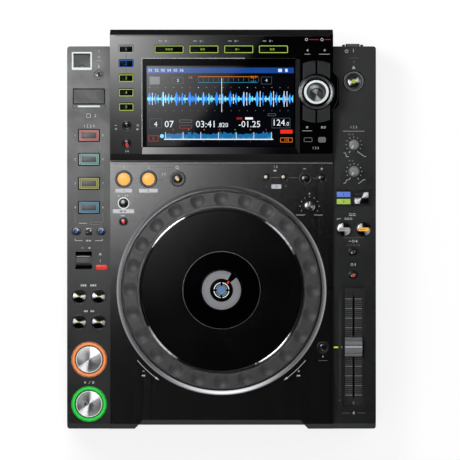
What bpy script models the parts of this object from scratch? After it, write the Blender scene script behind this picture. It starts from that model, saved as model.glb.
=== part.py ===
"""Tabletop disc player for a DJ, with a large jog wheel, a tilted display console and
two side strips of keys. Metres, +Z up, the front with its disc slot towards -Y. The
origin lies on the table, under the middle of the player's box."""

import math

import bmesh
import bpy
from mathutils import Matrix, Vector

# Fits and cutters
FIT = 0.0003
OVERRUN = 0.004
SINK = 0.0008

# Jog wheel, from its middle outwards
HUB_RADIUS = 0.022
SLEEVE_WALL = 0.004
PLATE_RADIUS = 0.0828
CHROME_WIDTH = 0.002
GROOVE_WIDTH = 0.0019
GRIP_WIDTH = 0.0157
GRIP_CORNER = 0.0026
RIM_GAP = 0.0011
TRIM_WIDTH = 0.0048
DIMPLE_RADIUS = 0.0075
DIMPLE_DEPTH = 0.0012
DIMPLE_COUNT = 24

# Jog wheel, upwards from the face of the deck
RIM_HEIGHT = 0.010
CHROME_RISE = 0.001
GROOVE_DEPTH = 0.0014
SKIRT_DROP = 0.006
SKIRT_WALL = 0.0025
WEB_THICKNESS = 0.002
PLATE_THICKNESS = 0.0024
PLATE_TRAVEL = 0.0005
SHELF_WIDTH = 0.004
TRIM_HEIGHT = 0.0027
DISH_GAP = 0.0015
DISH_WALL = 0.003
DISH_FLOOR = 0.002
DISH_DEPTH = 0.009

# Deck
DECK_SIDE = 0.0069
DECK_FRONT = 0.0259
DECK_REAR = 0.022
DECK_RISE = 0.004
DECK_THICKNESS = 0.002
DECK_FLANGE = 0.0022
DECK_LEDGE = 0.0045

# Case
STRIP_WIDTH = 0.0445
FRONT_SETBACK = 0.0041
DECK_LIP = 0.005
STRIP_LIP = 0.0054
STRIP_LIP_DROP = 0.0038
NOTCH_HALF = 0.0869
NOTCH_SLANT = 0.003
CASE_CORNER = 0.0025
CASE_WALL = 0.0025
CASE_FLOOR = 0.002
STRIP_THICKNESS = 0.0025
FOOT_HEIGHT = 0.008
FOOT_RADIUS = 0.016
FOOT_TAPER = 0.0015
FOOT_INSET = 0.034
BOTTOM_HEIGHT = 0.038
UPPER_HEIGHT = 0.028
REAR_OVERHANG = 0.0097
STRIP_SETBACK = 0.0172
REAR_SHOULDER = 0.0012

# Display console
CONSOLE_DEPTH = 0.1392
CONSOLE_HEIGHT = 0.1185
CONSOLE_WALL = 0.0045
CONSOLE_SIDE = 0.002
REAR_LEAN = 0.0064
REAR_LEDGE = 0.006
FOOTING_RUN = 0.003
FOOTING_RISE = 0.001
BEVEL_RUN = 0.0048
BEVEL_RISE = 0.0045
EDGE_RUN = 0.0025
EDGE_RISE = 0.0058
BULGE_WIDTH = 0.006
BULGE_HALF = 0.0135
BULGE_RAMP = 0.0082

# Display, between the columns of keys at its left and right
SOURCE_COLUMN = 0.034
SELECTOR_COLUMN = 0.0394
GLASS_WIDTH = 0.1576
GLASS_HEIGHT = 0.094
GLASS_THICKNESS = 0.0012
GLASS_RECESS = 0.0018
GLASS_SEAT = 0.0035
FACET_RIGHT = 0.0049
FACET_FRONT = 0.0075
FACET_REAR = 0.0008
FACET_LEFT = 0.0008

# Keys in general
KEY_TRAVEL = 0.001
KEY_PROUD = 0.0006
KEY_FLANGE = 0.0009
KEY_FLANGE_THICKNESS = 0.001
KEY_CORNER = 0.001
KEY_EDGE = 0.0004
RING_HEIGHT = 0.0008
RING_GAP = 0.0005

# Round keys
CUE_RADIUS = 0.0135
CUE_RING = 0.0043
CUE_TRAVEL = 0.0015
SEARCH_RADIUS = 0.0067
EJECT_RADIUS = 0.0061
EJECT_RING = 0.0048
LOOP_RADIUS = 0.0064
LOOP_RING = 0.0022
RELOOP_RADIUS = 0.0047
RELOOP_RING = 0.0031
BEAT_RADIUS = 0.0048
BEAT_RING = 0.0009
SYNC_RADIUS = 0.0066
DELETE_RADIUS = 0.0045
DELETE_RING = 0.0019
RESET_RADIUS = 0.0041
RESET_RING = 0.0018
STOP_RADIUS = 0.0037
STOP_RING = 0.0011
SMALL_RADIUS = 0.0041
CALL_RADIUS = 0.0036

# Straight-sided keys
PAD_WIDTH = 0.0224
PAD_DEPTH = 0.013
PAD_COUNT = 4
BANK_WIDTH = 0.0069
BANK_DEPTH = 0.0079
MODE_WIDTH = 0.0143
MODE_DEPTH = 0.0118
MODE_PANEL_WIDTH = 0.0383
MODE_PANEL_DEPTH = 0.018
MODE_PANEL_RECESS = 0.0008
SOURCE_WIDTH = 0.015
SOURCE_DEPTH = 0.008
SOURCE_COUNT = 5
MENU_WIDTH = 0.030
MENU_DEPTH = 0.0081
STRIP_BAR_THICKNESS = 0.0016
POWER_WIDTH = 0.0146
POWER_HEIGHT = 0.008
POWER_PROUD = 0.0029
POWER_GUARD = 0.003
POWER_GUARD_PROUD = 0.002
POWER_DROP = 0.016

# Rotary selector and the four keys round it
SELECTOR_BEZEL = 0.0184
SELECTOR_WELL = 0.013
SELECTOR_BEZEL_RISE = 0.003
SELECTOR_RADIUS = 0.0078
SELECTOR_SKIRT = 0.0096
SELECTOR_SKIRT_RISE = 0.0022
SELECTOR_HEIGHT = 0.0125
SELECTOR_LIFT = 0.0013
SELECTOR_SHAFT = 0.003
SELECTOR_COLLAR = 0.005
SELECTOR_COLLAR_THICKNESS = 0.0015
SELECTOR_TAIL = 0.008
QUAD_INNER = 0.0194
QUAD_OUTER = 0.033
QUAD_SPLIT = 0.001
QUAD_WIDTH = 0.013
QUAD_FLANGE = 0.0008

# Small rotary knobs
KNOB_RADIUS = 0.0057
KNOB_TOP = 0.0048
KNOB_HEIGHT = 0.012
KNOB_LIFT = 0.0006
KNOB_SHAFT = 0.003
KNOB_COLLAR = 0.005
KNOB_TAIL = 0.006
KNOB_FLUTES = 7
KNOB_FLUTE_DEPTH = 0.0004

# Tempo fader
FADER_FRONT = 0.0223
FADER_WIDTH = 0.0213
FADER_LENGTH = 0.125
FADER_FLANGE = 0.003
FADER_PLATE = 0.0016
FADER_SLOT_WIDTH = 0.0019
FADER_TRAVEL = 0.050
FADER_BLADE_LENGTH = 0.005
FADER_BLADE_THICKNESS = 0.0013
FADER_BLADE_DROP = 0.008
FADER_CHANNEL_WIDTH = 0.009
FADER_CHANNEL_WALL = 0.0015
FADER_CHANNEL_DEPTH = 0.012
FADER_KNOB_WIDTH = 0.018
FADER_KNOB_LENGTH = 0.0207
FADER_KNOB_LIFT = 0.0006
FADER_KNOB_FLAT = 0.0125
FADER_KNOB_RISE = 0.0105
FADER_SADDLE_DROP = 0.0014
FADER_SADDLE_LENGTH = 0.010
FADER_SADDLE_FLOOR = 0.006

# Direction lever
LEVER_WELL_WIDTH = 0.0172
LEVER_WELL_DEPTH = 0.0181
LEVER_DRUM = 0.0115
LEVER_DRUM_RISE = 0.0002
LEVER_PADDLE_WIDTH = 0.0125
LEVER_PADDLE_DEPTH = 0.0075
LEVER_PADDLE_TOP = 0.0050
LEVER_PADDLE_HEIGHT = 0.0062

# Media doors and sockets
USB_WIDTH = 0.0166
USB_DEPTH = 0.0144
USB_FRAME = 0.002
USB_FRAME_RISE = 0.0006
USB_SOCKET_WIDTH = 0.0131
USB_SOCKET_DEPTH = 0.0058
USB_SOCKET_DROP = 0.014
USB_NOTCH = 0.0032
SD_WIDTH = 0.0334
SD_DEPTH = 0.0164
SD_SOCKET_WIDTH = 0.0252
SD_SOCKET_DEPTH = 0.0060
SD_SOCKET_DROP = 0.012
DOOR_THICKNESS = 0.0016
SOCKET_WALL = 0.0014

# Disc slot and loader
DISC_SLOT_WIDTH = 0.128
DISC_SLOT_HEIGHT = 0.0056
DISC_SLOT_DROP = 0.020
LOADER_WIDTH = 0.146
LOADER_LENGTH = 0.186
LOADER_HEIGHT = 0.0205
LOADER_GAP = 0.0006
LOADER_BAY_LENGTH = 0.150
LOADER_POST_RADIUS = 0.004
LOADER_POST_INSET = 0.010

# Main board with its sockets
BOARD_DEPTH = 0.132
BOARD_THICKNESS = 0.0016
BOARD_MARGIN = 0.012
BOARD_POST = 0.004
BOARD_POST_RADIUS = 0.0035
BOARD_POST_INSET = 0.008
JACK_DEPTH = 0.018
JACK_WALL = 0.0012
PHONO_RADIUS = 0.0041
PHONO_BORE = 0.0016
PHONO_LENGTH = 0.0075
PHONO_PLINTH = 0.0125
INLET_WIDTH = 0.027
INLET_HEIGHT = 0.0195
LINK_WIDTH = 0.0155
LINK_HEIGHT = 0.0135
HOST_WIDTH = 0.0112
HOST_HEIGHT = 0.0108
SUPPLY_HEIGHT = 0.022

# Places of the controls, as shares of the face that carries them
CUE_SHARE = (0.012, 0.181)
PLAY_SHARE = (0.014, 0.0646)
SEARCH_X_SHARES = (-0.217, 0.235)
SEARCH_Y_SHARES = (0.346, 0.279)
BANK_X_SHARES = (-0.284, 0.008, 0.300)
BANK_Y_SHARE = 0.5154
LEVER_SHARE = (-0.1135, 0.4403)
PAD_SHARE = (0.010, 0.5787)
PAD_PITCH_SHARE = 0.0628
SD_SHARE = (0.008, 0.869)
USB_SHARE = (-0.156, 0.962)
STOP_SHARE = (0.239, 0.9263)
EJECT_SHARE = (-0.019, 0.8542)
BRAKE_SHARE = (-0.015, 0.5903)
RELEASE_SHARE = (-0.010, 0.4793)
MODE_PANEL_SHARE = (-0.013, 0.3685)
MODE_SHARE = (0.166, 0.3689)
SYNC_SHARE = (-0.246, 0.2383)
MASTER_SHARE = (0.215, 0.2383)
RANGE_SHARE = (-0.0236, 0.1430)
LOCK_SHARE = (-0.0236, 0.0470)
FADER_X_SHARE = -0.0202
POWER_X_SHARE = -0.0393
LOOP_IN_SHARE = (-0.876, 0.881)
LOOP_OUT_SHARE = (-0.655, 0.881)
RELOOP_SHARE = (-0.392, 0.883)
BEAT_SHARE = (-0.878, 0.690)
SLIP_SHARE = (-0.879, 0.542)
CALL_X_SHARES = (0.402, 0.558)
CALL_Y_SHARE = 0.892
DELETE_SHARE = (0.753, 0.8836)
MEMORY_SHARE = (0.899, 0.888)
ADJUST_SHARE = (0.789, 0.666)
RESET_SHARE = (0.910, -0.4525)
SOURCE_SHARE = (0.503, -0.116)
SOURCE_PITCH_SHARE = 0.1214
MENU_X_SHARES = (-0.4675, -0.1567, 0.154, 0.464)
MENU_Y_SHARE = -0.117
TIME_SHARE = (0.518, -0.763)
QUANTIZE_SHARE = (0.513, -0.9135)
SELECTOR_SHARE = (0.444, -0.475)
GLASS_Y_SHARE = -0.5765
INLET_X_SHARE = 0.72
SUPPLY_X_SHARES = (0.45, 0.90)
SUPPLY_Y_SHARES = (0.10, 0.62)
CHIP_X_SHARES = (-0.60, -0.28)
CHIP_Y_SHARES = (0.30, 0.60)
CHIP_HEIGHT = 0.003
LINK_X_SHARE = 0.30
HOST_X_SHARE = 0.02
PHONO_X_SHARES = (-0.26, -0.48, -0.70)

# Half section of a dimple, as shares of its radius and its depth
DIMPLE_SHARES = ((0.55, 0.9), (1, 0))

# Facets of the round forms
JOG_STEPS = 44
DISC_STEPS = 18
HUB_STEPS = 24
KEY_STEPS = 10
SMALL_STEPS = 8
DIMPLE_STEPS = 8
CORNER_STEPS = 2

# Sizes that follow from those above
RIM_BORE = PLATE_RADIUS + FIT
CHROME_OUTER = RIM_BORE + CHROME_WIDTH
GRIP_INNER = CHROME_OUTER + GROOVE_WIDTH
RIM_RADIUS = GRIP_INNER + GRIP_WIDTH
TRIM_INNER = RIM_RADIUS + RIM_GAP
TRIM_OUTER = TRIM_INNER + TRIM_WIDTH
DISPLAY_ROW = SOURCE_COLUMN + GLASS_WIDTH + SELECTOR_COLUMN
DECK_HALF = max(TRIM_OUTER + DECK_SIDE, DISPLAY_ROW / 2)
CASE_HALF = DECK_HALF + STRIP_WIDTH
DECK_LENGTH = DECK_FRONT + 2 * TRIM_OUTER + DECK_REAR
CASE_DEPTH = FRONT_SETBACK + DECK_LIP + DECK_LENGTH + CONSOLE_DEPTH
FRONT_Y = -CASE_DEPTH / 2
REAR_Y = CASE_DEPTH / 2
DECK_FRONT_Y = FRONT_Y + FRONT_SETBACK + DECK_LIP
JOG_Y = DECK_FRONT_Y + DECK_FRONT + TRIM_OUTER
DECK_REAR_Y = JOG_Y + TRIM_OUTER + DECK_REAR
STRIP_REAR_Y = REAR_Y - STRIP_SETBACK
STRIP_LENGTH = STRIP_REAR_Y - FRONT_Y
STRIP_X = DECK_HALF + STRIP_WIDTH / 2
FADER_REAR_Y = FRONT_Y + FADER_FRONT + FADER_LENGTH
BODY_REAR_Y = REAR_Y - REAR_OVERHANG
BODY_HALF = DECK_HALF - REAR_SHOULDER
CREST_Y = REAR_Y - REAR_LEAN
PARTING_Z = FOOT_HEIGHT + BOTTOM_HEIGHT
STRIP_Z = PARTING_Z + UPPER_HEIGHT
DECK_Z = STRIP_Z + DECK_RISE
CREST_Z = CONSOLE_HEIGHT
EDGE_Y = DECK_REAR_Y + FIT + FOOTING_RUN + BEVEL_RUN + EDGE_RUN
EDGE_Z = DECK_Z + EDGE_RISE
TILT = math.atan2(CREST_Z - EDGE_Z, CREST_Y - EDGE_Y)
SLOPE_LENGTH = math.hypot(CREST_Z - EDGE_Z, CREST_Y - EDGE_Y)
LOADER_TOP_Z = DECK_Z - DECK_THICKNESS - DISH_DEPTH - LOADER_GAP
BOARD_Z = FOOT_HEIGHT + CASE_FLOOR + BOARD_POST

LOOKS = {
    "case": ((0.045, 0.047, 0.05), 0.45, 0.0),
    "deck": ((0.02, 0.02, 0.022), 0.3, 0.6),
    "gloss": ((0.006, 0.006, 0.008), 0.08, 0.0),
    "glass": ((0.01, 0.015, 0.03), 0.03, 0.0),
    "rim": ((0.06, 0.06, 0.062), 0.6, 0.0),
    "platter": ((0.006, 0.006, 0.007), 0.25, 0.0),
    "metal": ((0.7, 0.7, 0.71), 0.25, 1.0),
    "dark_metal": ((0.15, 0.15, 0.16), 0.4, 1.0),
    "rubber": ((0.02, 0.02, 0.02), 0.8, 0.0),
    "black_key": ((0.01, 0.01, 0.011), 0.2, 0.0),
    "pad_key": ((0.06, 0.06, 0.065), 0.5, 0.0),
    "orange_key": ((1.0, 0.52, 0.10), 0.3, 0.0),
    "red_key": ((0.5, 0.02, 0.01), 0.3, 0.0),
    "blue_key": ((0.05, 0.2, 0.6), 0.3, 0.0),
    "board": ((0.02, 0.12, 0.05), 0.6, 0.0),
}


def clear_scene():
    for obj in list(bpy.data.objects):
        bpy.data.objects.remove(obj, do_unlink=True)


def finish_of(name, look):
    colour, roughness, metallic = LOOKS[look]
    material = bpy.data.materials.new(name)
    material.use_nodes = True
    shader = material.node_tree.nodes["Principled BSDF"]
    shader.inputs["Base Color"].default_value = (*colour, 1)
    shader.inputs["Roughness"].default_value = roughness
    shader.inputs["Metallic"].default_value = metallic
    return material


def circle(radius, steps):
    turns = [2 * math.pi * i / steps for i in range(steps)]
    return [(radius * math.cos(turn), radius * math.sin(turn)) for turn in turns]


def filleted(corners, radii, steps=CORNER_STEPS):
    """The outline through these corners, each rounded by its radius, or sharp at zero."""
    outline = []
    for i, corner in enumerate(corners):
        radius = radii[i]
        here = Vector(corner)
        if radius == 0:
            outline.append(tuple(here))
            continue
        back = (Vector(corners[i - 1]) - here).normalized()
        onward = (Vector(corners[(i + 1) % len(corners)]) - here).normalized()
        half = back.angle(onward) / 2
        centre = here + (back + onward).normalized() * radius / math.sin(half)
        start = here + back * radius / math.tan(half) - centre
        end = here + onward * radius / math.tan(half) - centre
        sweep = end.angle_signed(start)
        for step in range(steps + 1):
            spoke = start.copy()
            spoke.rotate(Matrix.Rotation(sweep * step / steps, 2))
            outline.append(tuple(centre + spoke))
    return outline


def rounded_box(width, depth, radius):
    x, y = width / 2, depth / 2
    corners = [(-x, -y), (x, -y), (x, y), (-x, y)]
    return filleted(corners, [radius] * len(corners))


def moved(outline, place):
    return [(x + place[0], y + place[1]) for x, y in outline]


def level(outline, height):
    return [Vector((x, y, height)) for x, y in outline]


def loft(rings, ring_shaped=False, bm=None):
    """A closed solid through rings of equal count, upwards along its outer side."""
    if bm is None:
        bm = bmesh.new()
    loops = [[bm.verts.new(point) for point in ring] for ring in rings]
    count = len(loops[0])
    pairs = list(zip(loops, loops[1:]))
    if ring_shaped:
        pairs.append((loops[-1], loops[0]))
    for lower, upper in pairs:
        for i in range(count):
            j = (i + 1) % count
            bm.faces.new((lower[i], lower[j], upper[j], upper[i]))
    if not ring_shaped:
        bm.faces.new(reversed(loops[0]))
        bm.faces.new(loops[-1])
    return bm


def tidy(bm):
    bmesh.ops.remove_doubles(bm, verts=bm.verts, dist=FIT / 100)
    bmesh.ops.recalc_face_normals(bm, faces=bm.faces)
    return bm


def prism(outline, low, high, bm=None):
    return loft([level(outline, low), level(outline, high)], bm=bm)


def turned(profile, steps, ring_shaped=False, bm=None):
    """The profile's points (radius, height), turned round the vertical axis."""
    rings = [level(circle(radius, steps), height) for radius, height in profile]
    return loft(rings, ring_shaped, bm)


def block(low, high, bm=None):
    """A box between two opposite corners."""
    outline = [(low[0], low[1]), (high[0], low[1]), (high[0], high[1]), (low[0], high[1])]
    return prism(outline, low[2], high[2], bm)


def side_prism(profile, left, right, bm=None):
    """The (y, z) profile, anticlockwise from the right, pushed out from left to right."""
    rings = [[Vector((x, y, z)) for y, z in profile] for x in (left, right)]
    return loft(rings, bm=bm)


def placed(bm, matrix):
    bmesh.ops.transform(bm, matrix=matrix, verts=bm.verts)
    return bm


def mesh_object(name, bm, frame):
    tidy(bm)
    mesh = bpy.data.meshes.new(name)
    bm.to_mesh(mesh)
    bm.free()
    obj = bpy.data.objects.new(name, mesh)
    bpy.context.scene.collection.objects.link(obj)
    obj.matrix_world = frame
    return obj


def piece(name, bm, look, frame=None):
    obj = mesh_object(name, bm, frame or Matrix())
    obj.data.shade_smooth()
    obj.data.set_sharp_from_angle(angle=math.radians(30))
    obj.data.materials.append(finish_of(name, look))
    return obj


def helper(name, bm, frame=None):
    obj = mesh_object(name, bm, frame or Matrix())
    obj.hide_render = True
    obj.display_type = "WIRE"
    return obj


def combine(obj, bm, operation, label, frame=None):
    modifier = obj.modifiers.new(label, "BOOLEAN")
    modifier.object = helper(f"{obj.name}_{label}", bm, frame)
    modifier.operation = operation
    modifier.solver = "EXACT"


def cut(obj, bm, label, frame=None):
    combine(obj, bm, "DIFFERENCE", label, frame)


def fuse(obj, bm, label, frame=None):
    combine(obj, bm, "UNION", label, frame)


class Face:
    """A face that carries controls: z is zero on it, and places are shares of its size."""

    def __init__(self, frame, thickness, middle, size):
        self.frame = frame
        self.thickness = thickness
        self.middle = middle
        self.size = size
        self.holes = bmesh.new()
        self.rings = bmesh.new()

    def place(self, shares):
        return [m + s * share for m, s, share in zip(self.middle, self.size, shares)]

    def beside(self, shares, column):
        """A place in a column at the face's left edge, or its right one if it is negative."""
        edge = math.copysign(self.size[0], -column)
        return [edge + column * shares[0], self.middle[1] + self.size[1] * shares[1]]

    def at(self, place):
        return self.frame @ Matrix.Translation((place[0], place[1], 0))

    def hole(self, outline, place):
        top = RING_HEIGHT + OVERRUN
        prism(moved(outline, place), -self.thickness - OVERRUN, top, self.holes)

    def ring(self, inner, outer, place, rise, steps):
        """A raised ring that is fused to the face."""
        profile = [(outer, -SINK), (outer, rise), (inner, rise), (inner, -SINK)]
        rings = [level(moved(circle(r, steps), place), z) for r, z in profile]
        loft(rings, True, self.rings)


def key_solid(outline, face, rise, hollow=0):
    """A cap that stands through its face, with a flange that stops it from below.
    outline(grow) is the cap's outline, moved out by grow."""
    seat = -face.thickness - FIT
    rings = [
        level(outline(KEY_FLANGE), seat - KEY_FLANGE_THICKNESS),
        level(outline(KEY_FLANGE), seat),
        level(outline(0), seat),
        level(outline(0), rise - KEY_EDGE),
        level(outline(-KEY_EDGE), rise),
    ]
    if hollow:
        rings.append(level(outline(-3 * KEY_EDGE), rise - hollow))
    return loft(rings)


def round_key(name, face, place, radius, look, ring=0, travel=KEY_TRAVEL, steps=KEY_STEPS):
    def outline(grow):
        return circle(radius + grow, steps)

    solid = key_solid(outline, face, travel + KEY_PROUD)
    piece(name, solid, look, face.at(place))
    face.hole(outline(FIT), place)
    if ring:
        inner = radius + FIT + RING_GAP
        face.ring(inner, inner + ring - RING_GAP, place, RING_HEIGHT, steps)


def box_key(name, face, place, width, depth, look, rise=KEY_TRAVEL + KEY_PROUD):
    def outline(grow):
        return rounded_box(width + 2 * grow, depth + 2 * grow, KEY_CORNER + grow)

    piece(name, key_solid(outline, face, rise, KEY_EDGE), look, face.at(place))
    face.hole(outline(FIT), place)


def key_strip(name, face, places, width, depth, look):
    """Caps on one moulded bar under the face, which are pressed together."""
    seat = -face.thickness - FIT
    middle = [sum(axis) / len(places) for axis in zip(*places)]
    local = [(x - middle[0], y - middle[1]) for x, y in places]
    reach_x = max(abs(x) for x, y in local) + width / 2 + KEY_FLANGE
    reach_y = max(abs(y) for x, y in local) + depth / 2 + KEY_FLANGE
    bar = rounded_box(2 * reach_x, 2 * reach_y, KEY_CORNER + KEY_FLANGE)
    strip = piece(name, prism(bar, seat - STRIP_BAR_THICKNESS, seat), look, face.at(middle))
    caps = bmesh.new()
    rise = KEY_TRAVEL + KEY_PROUD
    for spot, place in zip(local, places):
        cap = rounded_box(width, depth, KEY_CORNER)
        edge = rounded_box(width - 2 * KEY_EDGE, depth - 2 * KEY_EDGE, KEY_CORNER - KEY_EDGE)
        heights = [(cap, seat - SINK), (cap, rise - KEY_EDGE), (edge, rise)]
        loft([level(moved(outline, spot), z) for outline, z in heights], bm=caps)
        hole = rounded_box(width + 2 * FIT, depth + 2 * FIT, KEY_CORNER + FIT)
        face.hole(hole, place)
    fuse(strip, caps, "caps", face.at(middle))


def case_plan(inset, strip_lip=0):
    """The case's outline from above, moved in by inset, its strips' front edge by strip_lip."""
    half = CASE_HALF - inset
    front = FRONT_Y + inset
    centre = front + FRONT_SETBACK
    notch = NOTCH_HALF + inset
    slant = notch + NOTCH_SLANT
    rear = STRIP_REAR_Y - inset
    body = BODY_HALF - inset
    body_rear = BODY_REAR_Y - inset
    left = [
        (-DECK_HALF, front + strip_lip),
        (-DECK_HALF, front),
        (-slant, front),
        (-notch, centre),
    ]
    right = [(-x, y) for x, y in reversed(left)]
    corner = max(CASE_CORNER - inset, FIT)
    outer = [(-half, front + strip_lip)]
    corners = outer + left + right + [(half, front + strip_lip), (half, rear)]
    corners += [(body, rear), (body, body_rear), (-body, body_rear), (-body, rear)]
    corners += [(-half, rear)]
    radii = [0] * len(corners)
    for i, (x, y) in enumerate(corners):
        if abs(x) == half:
            radii[i] = corner
    return filleted(corners, radii)


def bottom_case():
    low, high = FOOT_HEIGHT, PARTING_Z
    case = piece("bottom_case", prism(case_plan(0), low, high), "case")
    cut(case, prism(case_plan(CASE_WALL), low + CASE_FLOOR, high + OVERRUN), "inside")
    extras = bmesh.new()
    rows = (FRONT_Y + FOOT_INSET, STRIP_REAR_Y - FOOT_INSET)
    for x in (FOOT_INSET - CASE_HALF, CASE_HALF - FOOT_INSET):
        for y in rows:
            foot = [(FOOT_RADIUS - FOOT_TAPER, 0), (FOOT_RADIUS, FOOT_TAPER)]
            foot += [(FOOT_RADIUS, low + SINK)]
            rings = [level(moved(circle(r, KEY_STEPS), (x, y)), z) for r, z in foot]
            loft(rings, bm=extras)
    base = low + CASE_FLOOR - SINK
    for x, y in loader_posts():
        post = moved(circle(LOADER_POST_RADIUS, SMALL_STEPS), (x, y))
        prism(post, base, LOADER_TOP_Z - LOADER_HEIGHT - FIT, extras)
    for x, y in board_posts():
        post = moved(circle(BOARD_POST_RADIUS, SMALL_STEPS), (x, y))
        prism(post, base, BOARD_Z - FIT, extras)
    fuse(case, extras, "feet_and_posts")
    windows = bmesh.new()
    foot = BOARD_Z + BOARD_THICKNESS
    for x, width, height in jacks():
        reach = width / 2 + FIT
        low_corner = (x - reach, BODY_REAR_Y - CASE_WALL - OVERRUN, foot - SINK - FIT)
        high_corner = (x + reach, BODY_REAR_Y + OVERRUN, foot + height + FIT)
        block(low_corner, high_corner, windows)
    cut(case, windows, "jack_windows")


def loader_posts():
    x = LOADER_WIDTH / 2 - LOADER_POST_INSET
    front = loader_front() + LOADER_POST_INSET
    rear = loader_front() + LOADER_LENGTH - LOADER_POST_INSET
    return [(-x, front), (x, front), (x, rear), (-x, rear)]


def board_posts():
    x = BODY_HALF - BOARD_MARGIN - BOARD_POST_INSET
    rear = BODY_REAR_Y - CASE_WALL - FIT - BOARD_POST_INSET
    front = rear - BOARD_DEPTH + 2 * BOARD_POST_INSET
    return [(-x, front), (x, front), (x, rear), (-x, rear)]


def loader_front():
    return FRONT_Y + FRONT_SETBACK + CASE_WALL + FIT


def jacks():
    """The straight-sided sockets in the rear wall: their middle, width and height."""
    return [
        (INLET_X_SHARE * BODY_HALF, INLET_WIDTH, INLET_HEIGHT),
        (LINK_X_SHARE * BODY_HALF, LINK_WIDTH, LINK_HEIGHT),
        (HOST_X_SHARE * BODY_HALF, HOST_WIDTH, HOST_HEIGHT),
    ] + [(share * BODY_HALF, PHONO_PLINTH, PHONO_PLINTH) for share in PHONO_X_SHARES]


def main_board():
    """The board behind the loader, with the supply and the sockets of the rear wall."""
    half = BODY_HALF - BOARD_MARGIN
    rear = BODY_REAR_Y - CASE_WALL - FIT
    front = rear - BOARD_DEPTH
    top = BOARD_Z + BOARD_THICKNESS
    board = piece("main_board", block((-half, front, BOARD_Z), (half, rear, top)), "board")
    blocks = bmesh.new()
    for x, width, height in jacks():
        low = (x - width / 2, rear - JACK_DEPTH, top - SINK)
        block(low, (x + width / 2, BODY_REAR_Y, top + height), blocks)
    for xs, ys, height in (
        (SUPPLY_X_SHARES, SUPPLY_Y_SHARES, SUPPLY_HEIGHT),
        (CHIP_X_SHARES, CHIP_Y_SHARES, CHIP_HEIGHT),
    ):
        low = (xs[0] * half, front + ys[0] * BOARD_DEPTH, top - SINK)
        high = (xs[1] * half, front + ys[1] * BOARD_DEPTH, top + height)
        block(low, high, blocks)
    fuse(board, blocks, "blocks")
    barrels = bmesh.new()
    bores = bmesh.new()
    turn = Matrix.Rotation(-math.pi / 2, 4, "X")
    for share in PHONO_X_SHARES:
        place = Matrix.Translation((share * BODY_HALF, BODY_REAR_Y, top + PHONO_PLINTH / 2))
        for radius, low, high, target in (
            (PHONO_RADIUS, -SINK, PHONO_LENGTH, barrels),
            (PHONO_BORE, -SINK, PHONO_LENGTH + OVERRUN, bores),
        ):
            for ring in [prism(circle(radius, SMALL_STEPS), low, high)]:
                placed(ring, place @ turn)
                joined(target, ring)
    fuse(board, barrels, "barrels")
    for x, width, height in jacks()[:3]:
        reach = width / 2 - JACK_WALL
        low = (x - reach, rear - JACK_DEPTH + JACK_WALL, top + JACK_WALL)
        high = (x + reach, BODY_REAR_Y + OVERRUN, top + height - JACK_WALL)
        block(low, high, bores)
    cut(board, bores, "bores")


def joined(target, source):
    """Adds the source's faces to the target and frees it."""
    copies = {vert: target.verts.new(vert.co) for vert in source.verts}
    for face in source.faces:
        target.faces.new([copies[vert] for vert in face.verts])
    source.free()


def upper_case(left, right):
    low, lip, high = PARTING_Z + FIT, STRIP_Z - STRIP_LIP_DROP, STRIP_Z
    rings = [level(case_plan(0), low), level(case_plan(0), lip)]
    rings += [level(case_plan(0, STRIP_LIP), high)]
    case = piece("upper_case", loft(rings), "case")
    inside = prism(case_plan(CASE_WALL), low - OVERRUN, high - STRIP_THICKNESS)
    cut(case, inside, "inside")
    x = DECK_HALF - DECK_LEDGE
    middles = bmesh.new()
    top = high + OVERRUN
    under = high - STRIP_THICKNESS - OVERRUN
    deck_low = (-x, DECK_FRONT_Y + DECK_LEDGE, under)
    block(deck_low, (x, DECK_REAR_Y - DECK_LEDGE, top), middles)
    console_low = (-x, EDGE_Y + DECK_LEDGE, under)
    block(console_low, (x, BODY_REAR_Y - CASE_WALL - DECK_LEDGE, top), middles)
    cut(case, middles, "middles")
    slot = bmesh.new()
    reach = DISC_SLOT_WIDTH / 2
    y = FRONT_Y + FRONT_SETBACK
    z = STRIP_Z - DISC_SLOT_DROP
    slot_low = (-reach, y - OVERRUN, z - DISC_SLOT_HEIGHT / 2)
    block(slot_low, (reach, y + CASE_WALL + OVERRUN, z + DISC_SLOT_HEIGHT / 2), slot)
    cut(case, slot, "disc_slot")
    extras = bmesh.new()
    joined(extras, left.rings)
    joined(extras, right.rings)
    fuse(case, extras, "rings", left.frame)
    fuse(case, socket_wells(left), "wells", left.frame)
    cut(case, sockets(left), "sockets", left.frame)
    cut(case, left.holes, "left_holes", left.frame)
    cut(case, right.holes, "right_holes", right.frame)
    cut(case, mode_recess(right), "mode_recess", right.frame)
    fuse(case, power_guards(right), "power_guards")
    cut(case, power_hole(right), "power_hole")


def media_places(left):
    """Each door's place with the sizes of the door and of the socket below it."""
    return (
        (left.place(USB_SHARE), (USB_WIDTH, USB_DEPTH),
         (USB_SOCKET_WIDTH, USB_SOCKET_DEPTH, USB_SOCKET_DROP)),
        (left.place(SD_SHARE), (SD_WIDTH, SD_DEPTH),
         (SD_SOCKET_WIDTH, SD_SOCKET_DEPTH, SD_SOCKET_DROP)),
    )


def socket_wells(left):
    """The closed wells under the media doors, and the frame round the smaller door."""
    wells = bmesh.new()
    for place, door, (width, depth, drop) in media_places(left):
        seat = -DOOR_THICKNESS - FIT
        outer = rounded_box(door[0] + 2 * SOCKET_WALL, door[1] + 2 * SOCKET_WALL, KEY_CORNER)
        floor = seat - SOCKET_WALL - drop
        prism(moved(outer, place), floor, SINK - STRIP_THICKNESS, wells)
    place = media_places(left)[0][0]
    reach = 2 * (USB_FRAME + FIT)
    frame = rounded_box(USB_WIDTH + reach, USB_DEPTH + reach, KEY_CORNER)
    prism(moved(frame, place), -SINK, USB_FRAME_RISE, wells)
    return wells


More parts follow.
